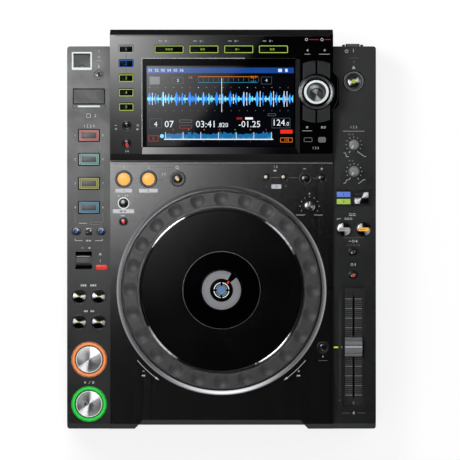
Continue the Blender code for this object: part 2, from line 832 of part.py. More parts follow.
def sockets(left):
    """The doors' seats and the sockets below them, which the wells leave open."""
    hollows = bmesh.new()
    for place, (width, depth), socket in media_places(left):
        seat = -DOOR_THICKNESS - FIT
        door = rounded_box(width + 2 * FIT, depth + 2 * FIT, 0)
        bore = rounded_box(socket[0], socket[1], 0)
        rings = [
            level(moved(bore, place), seat - socket[2]),
            level(moved(bore, place), seat),
            level(moved(door, place), seat),
            level(moved(door, place), OVERRUN),
        ]
        loft(rings, bm=hollows)
    return hollows


def media_door(name, place, width, depth, look, top, notch=0):
    """A door in its seat, rounded about the hinge at its rear edge, with the hinge line
    as its origin. The notch takes a finger at the front."""
    half = DOOR_THICKNESS / 2
    low = top - DOOR_THICKNESS
    axis = (place[0], place[1] + depth / 2 - half)
    front = -depth + half
    bend = [math.pi / 2 * (1 - 2 * i / CORNER_STEPS) for i in range(CORNER_STEPS + 1)]
    profile = [(half * math.cos(turn), half * math.sin(turn)) for turn in reversed(bend)]
    profile += [(front, half), (front, -half)]
    door = side_prism(profile, -width / 2, width / 2)
    frame = Matrix.Translation((axis[0], axis[1], STRIP_Z + low + half))
    leaf = piece(name, door, look, frame)
    if notch:
        scoop = moved(circle(notch, SMALL_STEPS), (0, front))
        cut(leaf, prism(scoop, -half - OVERRUN, half + OVERRUN), "notch", frame)


def mode_recess(right):
    place = right.place(MODE_PANEL_SHARE)
    outline = moved(rounded_box(MODE_PANEL_WIDTH, MODE_PANEL_DEPTH, KEY_CORNER), place)
    return prism(outline, -MODE_PANEL_RECESS, OVERRUN)


def power_middle(right):
    x = right.middle[0] + POWER_X_SHARE * STRIP_WIDTH
    return x, STRIP_Z - POWER_DROP


def power_guards(right):
    x, z = power_middle(right)
    guards = bmesh.new()
    for side in (-1, 1):
        inner = x + side * (POWER_WIDTH / 2 + 2 * FIT)
        outer = inner + side * POWER_GUARD
        low = (min(inner, outer), STRIP_REAR_Y - SINK, z - POWER_HEIGHT / 2)
        high = (max(inner, outer), STRIP_REAR_Y + POWER_GUARD_PROUD, z + POWER_HEIGHT / 2)
        block(low, high, guards)
    return guards


def power_hole(right):
    x, z = power_middle(right)
    w, h = POWER_WIDTH / 2 + FIT, POWER_HEIGHT / 2 + FIT
    rear = STRIP_REAR_Y
    return block((x - w, rear - CASE_WALL - OVERRUN, z - h), (x + w, rear + OVERRUN, z + h))


def power_button(right):
    """The key in the rear wall. Its frame's z points out of the wall."""
    x, z = power_middle(right)
    frame = Matrix.Translation((x, STRIP_REAR_Y, z)) @ Matrix.Rotation(-math.pi / 2, 4, "X")
    wall = Face(frame, CASE_WALL, (0, 0), (0, 0))

    def outline(grow):
        return rounded_box(POWER_WIDTH + 2 * grow, POWER_HEIGHT + 2 * grow, KEY_CORNER + grow)

    piece("power_button", key_solid(outline, wall, POWER_PROUD), "black_key", frame)


def deck_plan(inset, lip):
    """The deck's outline from above. Its front edge follows the case's notch."""
    x = DECK_HALF - FIT - inset
    front = FRONT_Y + inset + lip
    centre = FRONT_Y + FRONT_SETBACK + inset + lip
    notch = NOTCH_HALF - lip + inset
    slant = notch + NOTCH_SLANT
    left = [(-x, front), (-slant, front), (-notch, centre)]
    right = [(-a, b) for a, b in reversed(left)]
    return left + right + [(x, DECK_REAR_Y - inset), (-x, DECK_REAR_Y - inset)]


def deck_panel(deck):
    low, high = STRIP_Z + FIT, DECK_Z
    rings = [level(deck_plan(0, 0), low), level(deck_plan(0, DECK_LIP), high)]
    panel = piece("deck_panel", loft(rings), "deck")
    pan = deck_plan(DECK_FLANGE, DECK_LIP)
    cut(panel, prism(pan, low - OVERRUN, high - DECK_THICKNESS), "pan")
    well = moved(circle(TRIM_INNER, JOG_STEPS), (0, JOG_Y))
    cut(panel, prism(well, low - OVERRUN, high + OVERRUN), "jog_well")
    fuse(panel, deck.rings, "rings", deck.frame)
    cut(panel, deck.holes, "holes", deck.frame)


def jog_frame():
    return Matrix.Translation((0, JOG_Y, DECK_Z))


def jog_trim_ring():
    """The bright ring on the deck, round the wheel's well."""
    lip = TRIM_WIDTH / 4
    profile = [
        (TRIM_OUTER, FIT),
        (TRIM_OUTER, TRIM_HEIGHT - lip),
        (TRIM_OUTER - lip, TRIM_HEIGHT),
        (TRIM_INNER + lip, TRIM_HEIGHT),
        (TRIM_INNER, TRIM_HEIGHT - lip),
        (TRIM_INNER, FIT),
    ]
    piece("jog_trim_ring", turned(profile, JOG_STEPS, True), "metal", jog_frame())


def plate_top():
    return RIM_HEIGHT + CHROME_RISE - CHROME_RISE / 2


def shelf_height():
    return plate_top() - PLATE_THICKNESS - PLATE_TRAVEL - FIT


def jog_rim():
    """The dimpled grip, its bright inner ring and the web that turns on the hub."""
    top = RIM_HEIGHT
    crown = RIM_HEIGHT + CHROME_RISE
    bore = HUB_RADIUS + FIT
    sleeve = bore + SLEEVE_WALL
    shelf = RIM_BORE - SHELF_WIDTH
    skirt = RIM_RADIUS - SKIRT_WALL
    foot = FIT - DECK_THICKNESS - DISH_DEPTH + DISH_FLOOR
    bevel = CHROME_WIDTH / 4
    profile = [
        (RIM_RADIUS, -SKIRT_DROP),
        (RIM_RADIUS, top - GRIP_CORNER),
        (RIM_RADIUS - GRIP_CORNER, top),
        (GRIP_INNER, top),
        (GRIP_INNER, top - GROOVE_DEPTH),
        (CHROME_OUTER, top - GROOVE_DEPTH),
        (CHROME_OUTER, crown - bevel),
        (CHROME_OUTER - bevel, crown),
        (RIM_BORE, crown - CHROME_WIDTH / 2),
        (RIM_BORE, shelf_height()),
        (shelf, shelf_height()),
        (shelf, WEB_THICKNESS),
        (bore, WEB_THICKNESS),
        (bore, foot),
        (sleeve, foot),
        (sleeve, 0),
        (skirt, 0),
        (skirt, -SKIRT_DROP),
    ]
    rim = piece("jog_rim", turned(profile, JOG_STEPS, True), "rim", jog_frame())
    cut(rim, dimples(), "dimples", jog_frame())


def dimples():
    """Shallow round hollows along the middle of the grip, one for each finger step."""
    middle = GRIP_INNER + (GRIP_WIDTH - GRIP_CORNER / 2) / 2
    hollows = bmesh.new()
    for i in range(DIMPLE_COUNT):
        turn = 2 * math.pi * i / DIMPLE_COUNT + math.pi / 2
        place = (middle * math.cos(turn), middle * math.sin(turn))
        rings = []
        for across, down in DIMPLE_SHARES:
            outline = moved(circle(across * DIMPLE_RADIUS, DIMPLE_STEPS), place)
            rings.append(level(outline, RIM_HEIGHT - down * DIMPLE_DEPTH))
        rim = moved(circle(DIMPLE_RADIUS, DIMPLE_STEPS), place)
        rings.append(level(rim, RIM_HEIGHT + OVERRUN))
        loft(rings, bm=hollows)
    return hollows


def jog_plate():
    """The touch plate that the rim carries, free to sink by its travel."""
    top = plate_top()
    edge = CHROME_WIDTH / 4
    profile = [
        (PLATE_RADIUS, top - PLATE_THICKNESS),
        (PLATE_RADIUS, top - edge),
        (PLATE_RADIUS - edge, top),
    ]
    piece("jog_plate", turned(profile, JOG_STEPS), "platter", jog_frame())


def jog_hub():
    """The dish under the deck, with the fixed hub whose top is the wheel's display."""
    under = -DECK_THICKNESS - FIT
    low = -DECK_THICKNESS - DISH_DEPTH
    floor = low + DISH_FLOOR
    inner = RIM_RADIUS + DISH_GAP
    outer = inner + DISH_WALL
    profile = [(outer, low), (outer, under), (inner, under), (inner, floor)]
    profile += [(HUB_RADIUS, floor), (HUB_RADIUS, shelf_height())]
    piece("jog_hub", turned(profile, HUB_STEPS), "dark_metal", jog_frame())


def disc_loader():
    """The slot-loading disc drive behind the front wall."""
    front = loader_front()
    half = LOADER_WIDTH / 2
    low, high = LOADER_TOP_Z - LOADER_HEIGHT, LOADER_TOP_Z
    shape = block((-half, front, low), (half, front + LOADER_LENGTH, high))
    loader = piece("disc_loader", shape, "dark_metal")
    z = STRIP_Z - DISC_SLOT_DROP
    w, h = DISC_SLOT_WIDTH / 2, DISC_SLOT_HEIGHT / 2
    bay = block((-w, front - OVERRUN, z - h), (w, front + LOADER_BAY_LENGTH, z + h))
    cut(loader, bay, "bay")


def console_profile():
    """The console from the side, anticlockwise as seen from +X."""
    low = STRIP_Z + FIT
    y = DECK_REAR_Y + FIT
    return [
        (y, low),
        (REAR_Y, low),
        (REAR_Y, low + REAR_LEDGE),
        (CREST_Y, CREST_Z),
        (EDGE_Y, EDGE_Z),
        (EDGE_Y - EDGE_RUN, DECK_Z + BEVEL_RISE),
        (y + FOOTING_RUN, DECK_Z + FOOTING_RISE),
        (y, DECK_Z + FOOTING_RISE),
    ]


def slope_z(y):
    return EDGE_Z + (y - EDGE_Y) * math.tan(TILT)


def console_case(face):
    half = DECK_HALF - FIT
    case = piece("console_case", side_prism(console_profile(), -half, half), "gloss")
    low = STRIP_Z + FIT
    fuse(case, console_bulge(face, low), "bulge")
    front = EDGE_Y + CONSOLE_WALL
    rear = BODY_REAR_Y - CASE_WALL
    drop = CONSOLE_WALL / math.cos(TILT)
    crown = CREST_Y - CONSOLE_WALL
    cavity = [
        (front, low - OVERRUN),
        (rear, low - OVERRUN),
        (crown, slope_z(crown) - drop),
        (front, slope_z(front) - drop),
    ]
    x = half - CONSOLE_SIDE
    cut(case, side_prism(cavity, -x, x), "inside")
    bezel = bmesh.new()
    joined(bezel, face.rings)
    fuse(case, bezel, "bezels", face.frame)
    cut(case, glass_seat(face), "glass_seat", face.frame)
    cut(case, face.holes, "holes", face.frame)


def console_bulge(face, low):
    """The swelling of the right side beside the selector."""
    along = selector_place(face)[1]
    y = CREST_Y + along * math.cos(TILT)
    inner = DECK_HALF - CONSOLE_WALL / 2
    outer = DECK_HALF + BULGE_WIDTH
    near, far = BULGE_HALF, BULGE_HALF + BULGE_RAMP
    plan = [(inner, y - far), (outer, y - near), (outer, y + near), (inner, y + far)]
    rings = [[Vector((a, b, low)) for a, b in plan]]
    rings += [[Vector((a, b, slope_z(b))) for a, b in plan]]
    return loft(rings)


def glass_outline(grow_left, grow_right, grow_front, grow_rear):
    x, y = GLASS_WIDTH / 2, GLASS_HEIGHT / 2
    return [
        (-x - grow_left, -y - grow_front),
        (x + grow_right, -y - grow_front),
        (x + grow_right, y + grow_rear),
        (-x - grow_left, y + grow_rear),
    ]


def glass_place(face):
    x = SOURCE_COLUMN + GLASS_WIDTH / 2 - DECK_HALF
    return x, face.middle[1] + GLASS_Y_SHARE * face.size[1]


def glass_seat(face):
    """The window, the glass's pocket and the slanted facets that lead down to it."""
    place = glass_place(face)
    pocket = -GLASS_RECESS - GLASS_THICKNESS - FIT
    reach = [-GLASS_SEAT] * 4
    steps = (
        (reach, -CONSOLE_WALL - OVERRUN),
        (reach, pocket),
        ([FIT] * 4, pocket),
        ([FIT] * 4, -GLASS_RECESS),
        ((FACET_LEFT, FACET_RIGHT, FACET_FRONT, FACET_REAR), 0),
        ((FACET_LEFT, FACET_RIGHT, FACET_FRONT, FACET_REAR), OVERRUN),
    )
    return loft([level(moved(glass_outline(*grow), place), z) for grow, z in steps])


def display_glass(face):
    low = -GLASS_RECESS - GLASS_THICKNESS
    outline = glass_outline(0, 0, 0, 0)
    shape = prism(outline, low, -GLASS_RECESS)
    piece("display_glass", shape, "glass", face.at(glass_place(face)))


def selector_place(face):
    return face.beside(SELECTOR_SHARE, -SELECTOR_COLUMN)


def selector(face):
    """The turning and pushing selector, its shaft and the four keys round its bezel."""
    place = selector_place(face)
    face.ring(SELECTOR_WELL, SELECTOR_BEZEL, place, SELECTOR_BEZEL_RISE, DISC_STEPS)
    face.hole(circle(SELECTOR_SHAFT + FIT, SMALL_STEPS), place)
    seat = -face.thickness - FIT
    top = SELECTOR_LIFT + SELECTOR_HEIGHT
    bore = SELECTOR_SHAFT + FIT
    depth = top - 2 * SELECTOR_SKIRT_RISE
    shaft = [
        (SELECTOR_SHAFT, seat - SELECTOR_TAIL),
        (SELECTOR_SHAFT, seat - SELECTOR_COLLAR_THICKNESS),
        (SELECTOR_COLLAR, seat - SELECTOR_COLLAR_THICKNESS),
        (SELECTOR_COLLAR, seat),
        (SELECTOR_SHAFT, seat),
        (SELECTOR_SHAFT, depth - FIT),
    ]
    frame = face.at(place)
    piece("selector_shaft", turned(shaft, SMALL_STEPS), "dark_metal", frame)
    edge = SELECTOR_SKIRT_RISE / 2
    knob = [
        (SELECTOR_SKIRT, SELECTOR_LIFT),
        (SELECTOR_SKIRT, SELECTOR_LIFT + edge),
        (SELECTOR_RADIUS, SELECTOR_LIFT + SELECTOR_SKIRT_RISE),
        (SELECTOR_RADIUS, top - edge),
        (SELECTOR_RADIUS - edge, top),
    ]
    body = piece("selector_knob", turned(knob, DISC_STEPS), "metal", frame)
    inside = prism(circle(bore, SMALL_STEPS), SELECTOR_LIFT - OVERRUN, depth)
    cut(body, inside, "bore", frame)
    names = {
        (-1, 1): "back_key",
        (1, 1): "tag_key",
        (-1, -1): "filter_key",
        (1, -1): "shortcut_key",
    }
    for (across, along), name in names.items():
        quad_key(name, face, place, across, along)


def quad_outline(grow, across, along):
    """One of four like keys between two arcs about the selector, in the given quarter."""
    inner, outer = QUAD_INNER - grow, QUAD_OUTER + grow
    near, far = QUAD_SPLIT - grow, QUAD_SPLIT + QUAD_WIDTH + grow
    count = 2 * CORNER_STEPS
    xs = [near + (far - near) * i / count for i in range(count + 1)]
    outline = [(x, math.sqrt(inner * inner - x * x)) for x in xs]
    outline += [(x, math.sqrt(outer * outer - x * x)) for x in reversed(xs)]
    outline = [(across * x, along * y) for x, y in outline]
    return outline if across * along > 0 else outline[::-1]


def quad_key(name, face, place, across, along):
    seat = -face.thickness - FIT
    rise = KEY_TRAVEL + KEY_PROUD
    steps = (
        (QUAD_FLANGE, seat - KEY_FLANGE_THICKNESS),
        (QUAD_FLANGE, seat),
        (0, seat),
        (0, rise - KEY_EDGE),
        (-KEY_EDGE, rise),
    )
    rings = [level(quad_outline(grow, across, along), z) for grow, z in steps]
    piece(name, loft(rings), "black_key", face.at(place))
    face.hole(quad_outline(FIT, across, along), place)


def rotary_knob(name, face, shares, look="metal"):
    """A small fluted knob whose shaft passes through the face."""
    place = face.place(shares)
    seat = -face.thickness - FIT
    frame = face.at(place)
    top = KNOB_LIFT + KNOB_HEIGHT
    steps = 2 * KNOB_FLUTES

    def fluted(radius, height, depth=0):
        points = circle(1, steps)
        radii = [radius - depth * (i % 2) for i in range(steps)]
        return [Vector((x * r, y * r, height)) for (x, y), r in zip(points, radii)]

    edge = (KNOB_RADIUS - KNOB_TOP) / 2
    rings = [
        fluted(KNOB_SHAFT, seat - KNOB_TAIL),
        fluted(KNOB_SHAFT, seat - KEY_FLANGE_THICKNESS),
        fluted(KNOB_COLLAR, seat - KEY_FLANGE_THICKNESS),
        fluted(KNOB_COLLAR, seat),
        fluted(KNOB_SHAFT, seat),
        fluted(KNOB_SHAFT, KNOB_LIFT),
        fluted(KNOB_RADIUS, KNOB_LIFT),
        fluted(KNOB_RADIUS, KNOB_LIFT + edge),
        fluted(KNOB_TOP + edge, KNOB_LIFT + 2 * edge, KNOB_FLUTE_DEPTH),
        fluted(KNOB_TOP, top - edge, KNOB_FLUTE_DEPTH),
        fluted(KNOB_TOP - edge, top),
    ]
    piece(name, loft(rings), look, frame)
    face.hole(circle(KNOB_SHAFT + FIT, SMALL_STEPS), place)


def tempo_fader(face):
    """The fader's slotted plate and channel under the strip, and its sliding knob."""
    place = (face.middle[0] + FADER_X_SHARE * face.size[0], FADER_REAR_Y - FADER_LENGTH / 2)
    frame = face.at(place)
    face.hole(rounded_box(FADER_WIDTH, FADER_LENGTH, KEY_CORNER), place)
    seat = -face.thickness - FIT
    width = FADER_WIDTH + 2 * FADER_FLANGE
    length = FADER_LENGTH + 2 * FADER_FLANGE
    low = seat - FADER_PLATE
    plate = prism(rounded_box(width, length, KEY_CORNER), low, seat)
    unit = piece("tempo_fader_unit", plate, "black_key", frame)
    slot_length = 2 * (FADER_TRAVEL + FIT) + FADER_BLADE_LENGTH
    channel = FADER_CHANNEL_WIDTH / 2
    run = slot_length / 2 + FADER_CHANNEL_WALL
    base = low - FADER_CHANNEL_DEPTH
    fuse(unit, block((-channel, -run, base), (channel, run, low + SINK)), "channel", frame)
    hollow = bmesh.new()
    w, l = FADER_SLOT_WIDTH / 2, slot_length / 2
    inner = channel - FADER_CHANNEL_WALL
    wide = rounded_box(2 * inner, 2 * (l + FIT), 0)
    narrow = rounded_box(2 * w, 2 * l, 0)
    rings = [
        level(wide, base + FADER_CHANNEL_WALL),
        level(wide, low - FADER_CHANNEL_WALL),
        level(narrow, low - FADER_CHANNEL_WALL),
        level(narrow, seat + OVERRUN),
    ]
    loft(rings, bm=hollow)
    cut(unit, hollow, "slot", frame)
    foot = seat + FADER_KNOB_LIFT
    flat = FADER_KNOB_FLAT / 2
    reach = FADER_KNOB_LENGTH / 2
    saddle = FADER_SADDLE_FLOOR / 2
    brim = FADER_SADDLE_LENGTH / 2
    top = foot + FADER_KNOB_RISE
    dip = top - FADER_SADDLE_DROP
    profile = [
        (-reach, foot),
        (reach, foot),
        (reach, foot + FADER_KNOB_LIFT),
        (flat, top),
        (brim, top),
        (saddle, dip),
        (-saddle, dip),
        (-brim, top),
        (-flat, top),
        (-reach, foot + FADER_KNOB_LIFT),
    ]
    half = FADER_KNOB_WIDTH / 2
    knob = piece("tempo_fader_knob", side_prism(profile, -half, half), "black_key", frame)
    t, b = FADER_BLADE_THICKNESS / 2, FADER_BLADE_LENGTH / 2
    blade = block((-t, -b, seat - FADER_BLADE_DROP), (t, b, foot + SINK))
    fuse(knob, blade, "blade", frame)


def direction_lever(face):
    """The three-position lever: a drum on a cross axis with a paddle on top."""
    place = face.place(LEVER_SHARE)
    well = rounded_box(LEVER_WELL_WIDTH, LEVER_WELL_DEPTH, KEY_CORNER)
    face.hole(well, place)
    axis = LEVER_DRUM_RISE - LEVER_DRUM
    frame = face.at(place) @ Matrix.Translation((0, 0, axis))
    half = LEVER_WELL_WIDTH / 2 - FIT
    drum = circle(LEVER_DRUM, KEY_STEPS)
    lever = piece("direction_lever", side_prism(drum, -half, half), "black_key", frame)
    w = LEVER_PADDLE_WIDTH / 2
    base, crown = LEVER_PADDLE_DEPTH / 2, LEVER_PADDLE_TOP / 2
    low = LEVER_DRUM - 2 * SINK
    high = LEVER_DRUM + LEVER_PADDLE_HEIGHT
    paddle = [(-base, low), (base, low), (crown, high), (-crown, high)]
    fuse(lever, side_prism(paddle, -w, w), "paddle", frame)
    slab = LEVER_DRUM / 3
    under = [(-LEVER_DRUM - OVERRUN, -LEVER_DRUM - OVERRUN)]
    under += [(LEVER_DRUM + OVERRUN, -LEVER_DRUM - OVERRUN)]
    under += [(LEVER_DRUM + OVERRUN, -slab), (-LEVER_DRUM - OVERRUN, -slab)]
    cut(lever, side_prism(under, -half - OVERRUN, half + OVERRUN), "flat", frame)


def left_controls(left):
    round_key("cue_button", left, left.place(CUE_SHARE), CUE_RADIUS, "metal", CUE_RING,
              CUE_TRAVEL, DISC_STEPS)
    round_key("play_button", left, left.place(PLAY_SHARE), CUE_RADIUS, "metal", CUE_RING,
              CUE_TRAVEL, DISC_STEPS)
    search = ("track_back_key", "track_next_key", "search_back_key", "search_next_key")
    spots = [(x, y) for y in SEARCH_Y_SHARES for x in SEARCH_X_SHARES]
    for name, spot in zip(search, spots):
        round_key(name, left, left.place(spot), SEARCH_RADIUS, "metal")
    bank = [(x, BANK_Y_SHARE) for x in BANK_X_SHARES]
    round_key("bank_left_key", left, left.place(bank[0]), SMALL_RADIUS, "blue_key")
    round_key("bank_right_key", left, left.place(bank[2]), SMALL_RADIUS, "blue_key")
    box_key("call_delete_key", left, left.place(bank[1]), BANK_WIDTH, BANK_DEPTH, "black_key")
    for i in range(PAD_COUNT):
        place = left.place((PAD_SHARE[0], PAD_SHARE[1] + i * PAD_PITCH_SHARE))
        name = f"hot_cue_pad_{PAD_COUNT - i}"
        box_key(name, left, place, PAD_WIDTH, PAD_DEPTH, "pad_key")
    round_key("usb_stop_key", left, left.place(STOP_SHARE), STOP_RADIUS, "black_key", STOP_RING)
    direction_lever(left)
    usb, sd = media_places(left)
    media_door("usb_cover", usb[0], *usb[1], "dark_metal", 0, USB_NOTCH)
    media_door("sd_cover", sd[0], *sd[1], "dark_metal", 0)


def right_controls(right):
    round_key("eject_button", right, right.place(EJECT_SHARE), EJECT_RADIUS, "black_key",
              EJECT_RING)
    rotary_knob("touch_brake_knob", right, BRAKE_SHARE)
    rotary_knob("release_start_knob", right, RELEASE_SHARE)
    box_key("jog_mode_key", right, right.place(MODE_SHARE), MODE_WIDTH, MODE_DEPTH, "metal")
    round_key("sync_key", right, right.place(SYNC_SHARE), SYNC_RADIUS, "metal")
    round_key("master_key", right, right.place(MASTER_SHARE), SYNC_RADIUS, "orange_key")
    round_key("tempo_range_key", right, right.place(RANGE_SHARE), SMALL_RADIUS, "black_key")
    round_key("master_tempo_key", right, right.place(LOCK_SHARE), SMALL_RADIUS, "red_key")
    tempo_fader(right)
    power_button(right)


def deck_controls(deck):
    keys = (
        ("loop_in_key", LOOP_IN_SHARE, LOOP_RADIUS, "orange_key", LOOP_RING),
        ("loop_out_key", LOOP_OUT_SHARE, LOOP_RADIUS, "orange_key", LOOP_RING),
        ("reloop_key", RELOOP_SHARE, RELOOP_RADIUS, "black_key", RELOOP_RING),
        ("beat_loop_key", BEAT_SHARE, BEAT_RADIUS, "black_key", BEAT_RING),
        ("slip_key", SLIP_SHARE, SMALL_RADIUS, "red_key", 0),
        ("call_back_key", (CALL_X_SHARES[0], CALL_Y_SHARE), CALL_RADIUS, "black_key", 0),
        ("call_next_key", (CALL_X_SHARES[1], CALL_Y_SHARE), CALL_RADIUS, "black_key", 0),
        ("delete_key", DELETE_SHARE, DELETE_RADIUS, "black_key", DELETE_RING),
        ("memory_key", MEMORY_SHARE, SMALL_RADIUS, "black_key", 0),
        ("tempo_reset_key", RESET_SHARE, RESET_RADIUS, "black_key", RESET_RING),
    )
    for name, shares, radius, look, ring in keys:
        round_key(name, deck, deck.place(shares), radius, look, ring)
    rotary_knob("jog_adjust_knob", deck, ADJUST_SHARE)


def console_controls(face):
    source = [
        face.beside((SOURCE_SHARE[0], SOURCE_SHARE[1] - i * SOURCE_PITCH_SHARE), SOURCE_COLUMN)
        for i in range(SOURCE_COUNT)
    ]
    key_strip("source_key_strip", face, source, SOURCE_WIDTH, SOURCE_DEPTH, "black_key")
    menu = [face.place((share, MENU_Y_SHARE)) for share in MENU_X_SHARES]
    key_strip("menu_key_strip", face, menu, MENU_WIDTH, MENU_DEPTH, "black_key")
    time, quantize = [face.beside(s, SOURCE_COLUMN) for s in (TIME_SHARE, QUANTIZE_SHARE)]
    round_key("time_mode_key", face, time, SMALL_RADIUS, "black_key")
    round_key("quantize_key", face, quantize, SMALL_RADIUS, "red_key")
    selector(face)
    display_glass(face)


def build():
    clear_scene()
    strips = Matrix.Translation((0, 0, STRIP_Z))
    strip_size = (STRIP_WIDTH, STRIP_LENGTH)
    left = Face(strips, STRIP_THICKNESS, (-STRIP_X, FRONT_Y), strip_size)
    upper_size = (STRIP_WIDTH, STRIP_REAR_Y - FADER_REAR_Y)
    right = Face(strips, STRIP_THICKNESS, (STRIP_X, FADER_REAR_Y), upper_size)
    deck_size = (DECK_HALF, DECK_REAR_Y - JOG_Y)
    deck = Face(Matrix.Translation((0, 0, DECK_Z)), DECK_THICKNESS, (0, JOG_Y), deck_size)
    slope = Matrix.Translation((0, CREST_Y, CREST_Z)) @ Matrix.Rotation(TILT, 4, "X")
    console = Face(slope, CONSOLE_WALL, (0, 0), (DECK_HALF, SLOPE_LENGTH))
    left_controls(left)
    right_controls(right)
    deck_controls(deck)
    console_controls(console)
    bottom_case()
    upper_case(left, right)
    deck_panel(deck)
    console_case(console)
    main_board()
    disc_loader()
    jog_trim_ring()
    jog_hub()
    jog_rim()
    jog_plate()


build()
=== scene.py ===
from math import atan2, cos, exp, hypot, pi, radians, sin, sqrt, tan
import random

import bmesh
import bpy
from mathutils import Matrix, Vector


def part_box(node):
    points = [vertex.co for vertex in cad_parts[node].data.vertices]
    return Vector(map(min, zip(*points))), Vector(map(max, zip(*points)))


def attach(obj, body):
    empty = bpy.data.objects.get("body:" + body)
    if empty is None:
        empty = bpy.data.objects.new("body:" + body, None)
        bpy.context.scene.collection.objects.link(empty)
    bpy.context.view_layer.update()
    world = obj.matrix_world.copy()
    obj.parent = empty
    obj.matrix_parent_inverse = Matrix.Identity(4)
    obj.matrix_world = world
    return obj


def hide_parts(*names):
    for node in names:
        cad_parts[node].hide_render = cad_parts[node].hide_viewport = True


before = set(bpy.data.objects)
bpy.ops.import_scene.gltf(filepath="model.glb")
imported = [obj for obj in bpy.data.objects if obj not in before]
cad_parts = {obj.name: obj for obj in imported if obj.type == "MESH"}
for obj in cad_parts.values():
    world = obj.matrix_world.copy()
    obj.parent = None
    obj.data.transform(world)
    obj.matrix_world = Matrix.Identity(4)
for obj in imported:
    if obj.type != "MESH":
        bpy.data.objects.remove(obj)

bpy.context.view_layer.update()
random.seed(11)

# Sizes below are in millimetres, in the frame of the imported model
MM = 0.001
REAR_Y, TOP_Z = 200.3, 118.5
TILT = atan2(TOP_Z - 83.8, REAR_Y - 78.1)
JOG_Y = -63.1
JOG, SELECTOR, FADER = (0, JOG_Y), (98.0, 142.17), (136.85, -121.9)
CAP_FOOT, EYE_RADIUS, PRINT_LIFT = -3.6, 2.7, 0.08
FLOOR_Z = -0.0003
SKY_FILL = 0.3
FIGURE_SCALE = 1.38  # em size over the figures' height


class Plane:
    """A level or tilted face. Places on it are given by their x and y in the frame."""

    def __init__(self, origin, tilt=0.0, lower=0.0):
        turn = Matrix.Rotation(tilt, 4, "X")
        self.matrix = Matrix.Translation(Vector(origin) * MM) @ turn
        self.matrix = self.matrix @ Matrix.Translation((0, 0, -lower * MM))
        self.origin = self.matrix.translation / MM
        self.squeeze = cos(tilt)

    def flat(self, x, y):
        return x, (y - self.origin.y) / self.squeeze


STRIP = Plane((0, 0, 74))
DECK = Plane((0, 0, 78))
SLOPE = Plane((0, REAR_Y, TOP_Z), TILT)
GLASS = Plane((0, REAR_Y, TOP_Z), TILT, 1.8)
HUB = Plane((0, JOG_Y, 85.3))
PLATE = Plane((0, JOG_Y, 88.5))
RIM = Plane((0, JOG_Y, 88))


def linear(rgb):
    values = [c / 255 for c in rgb]
    return [c / 12.92 if c <= 0.04045 else ((c + 0.055) / 1.055) ** 2.4 for c in values]


# Finishes


class Nodes:
    """Short calls for the nodes of a tree."""

    def __init__(self, owner):
        owner.use_nodes = True
        self.tree = owner.node_tree

    def set(self, node, values):
        for key, value in values.items():
            if hasattr(value, "node"):
                self.tree.links.new(value, node.inputs[key])
            else:
                node.inputs[key].default_value = value

    def node(self, kind, inputs=(), out=0, **facts):
        node = self.tree.nodes.new("ShaderNode" + kind)
        for key, value in facts.items():
            setattr(node, key, value)
        self.set(node, dict(inputs))
        return node.outputs[out]

    def coordinates(self, stretch=(1, 1, 1)):
        place = self.node("TexCoord", out=3)
        return self.node("Mapping", {"Vector": place, "Scale": stretch})

    def noise(self, scale, detail=3.0, stretch=(1, 1, 1)):
        at = self.coordinates(stretch)
        return self.node("TexNoise", {"Vector": at, "Scale": scale, "Detail": detail})

    def ranged(self, value, low, high, start=0.3, end=0.7):
        facts = {"Value": value, "From Min": start, "From Max": end, "To Min": low, "To Max": high}
        return self.node("MapRange", facts)

    def mix(self, factor, a, b, blend="MIX"):
        node = self.tree.nodes.new("ShaderNodeMix")
        node.data_type = "RGBA"
        node.blend_type = blend
        for socket, value in zip((node.inputs[0], node.inputs[6], node.inputs[7]), (factor, a, b)):
            if hasattr(value, "node"):
                self.tree.links.new(value, socket)
            else:
                socket.default_value = value
        return node.outputs[2]

    def math(self, operation, *values):
        node = self.tree.nodes.new("ShaderNodeMath")
        node.operation = operation
        for socket, value in zip(node.inputs, values):
            if hasattr(value, "node"):
                self.tree.links.new(value, socket)
            else:
                socket.default_value = value
        return node.outputs[0]

    def bump(self, height, strength, depth, normal=None):
        facts = {"Height": height, "Strength": strength, "Distance": depth * MM}
        if normal:
            facts["Normal"] = normal
        return self.node("Bump", facts)


class Look(Nodes):
    """A material under construction."""

    def __init__(self, name, rough, metal, spec=0.5):
        self.material = bpy.data.materials.new(name)
        super().__init__(self.material)
        self.shader = self.tree.nodes["Principled BSDF"]
        self.set(self.shader, {"Roughness": rough, "Metallic": metal, "Specular IOR Level": spec})


def shades(rgb, vary):
    colour = linear(rgb)
    return [(*[min(1, c * k) for c in colour], 1) for k in (1 - vary, 1 + vary)]


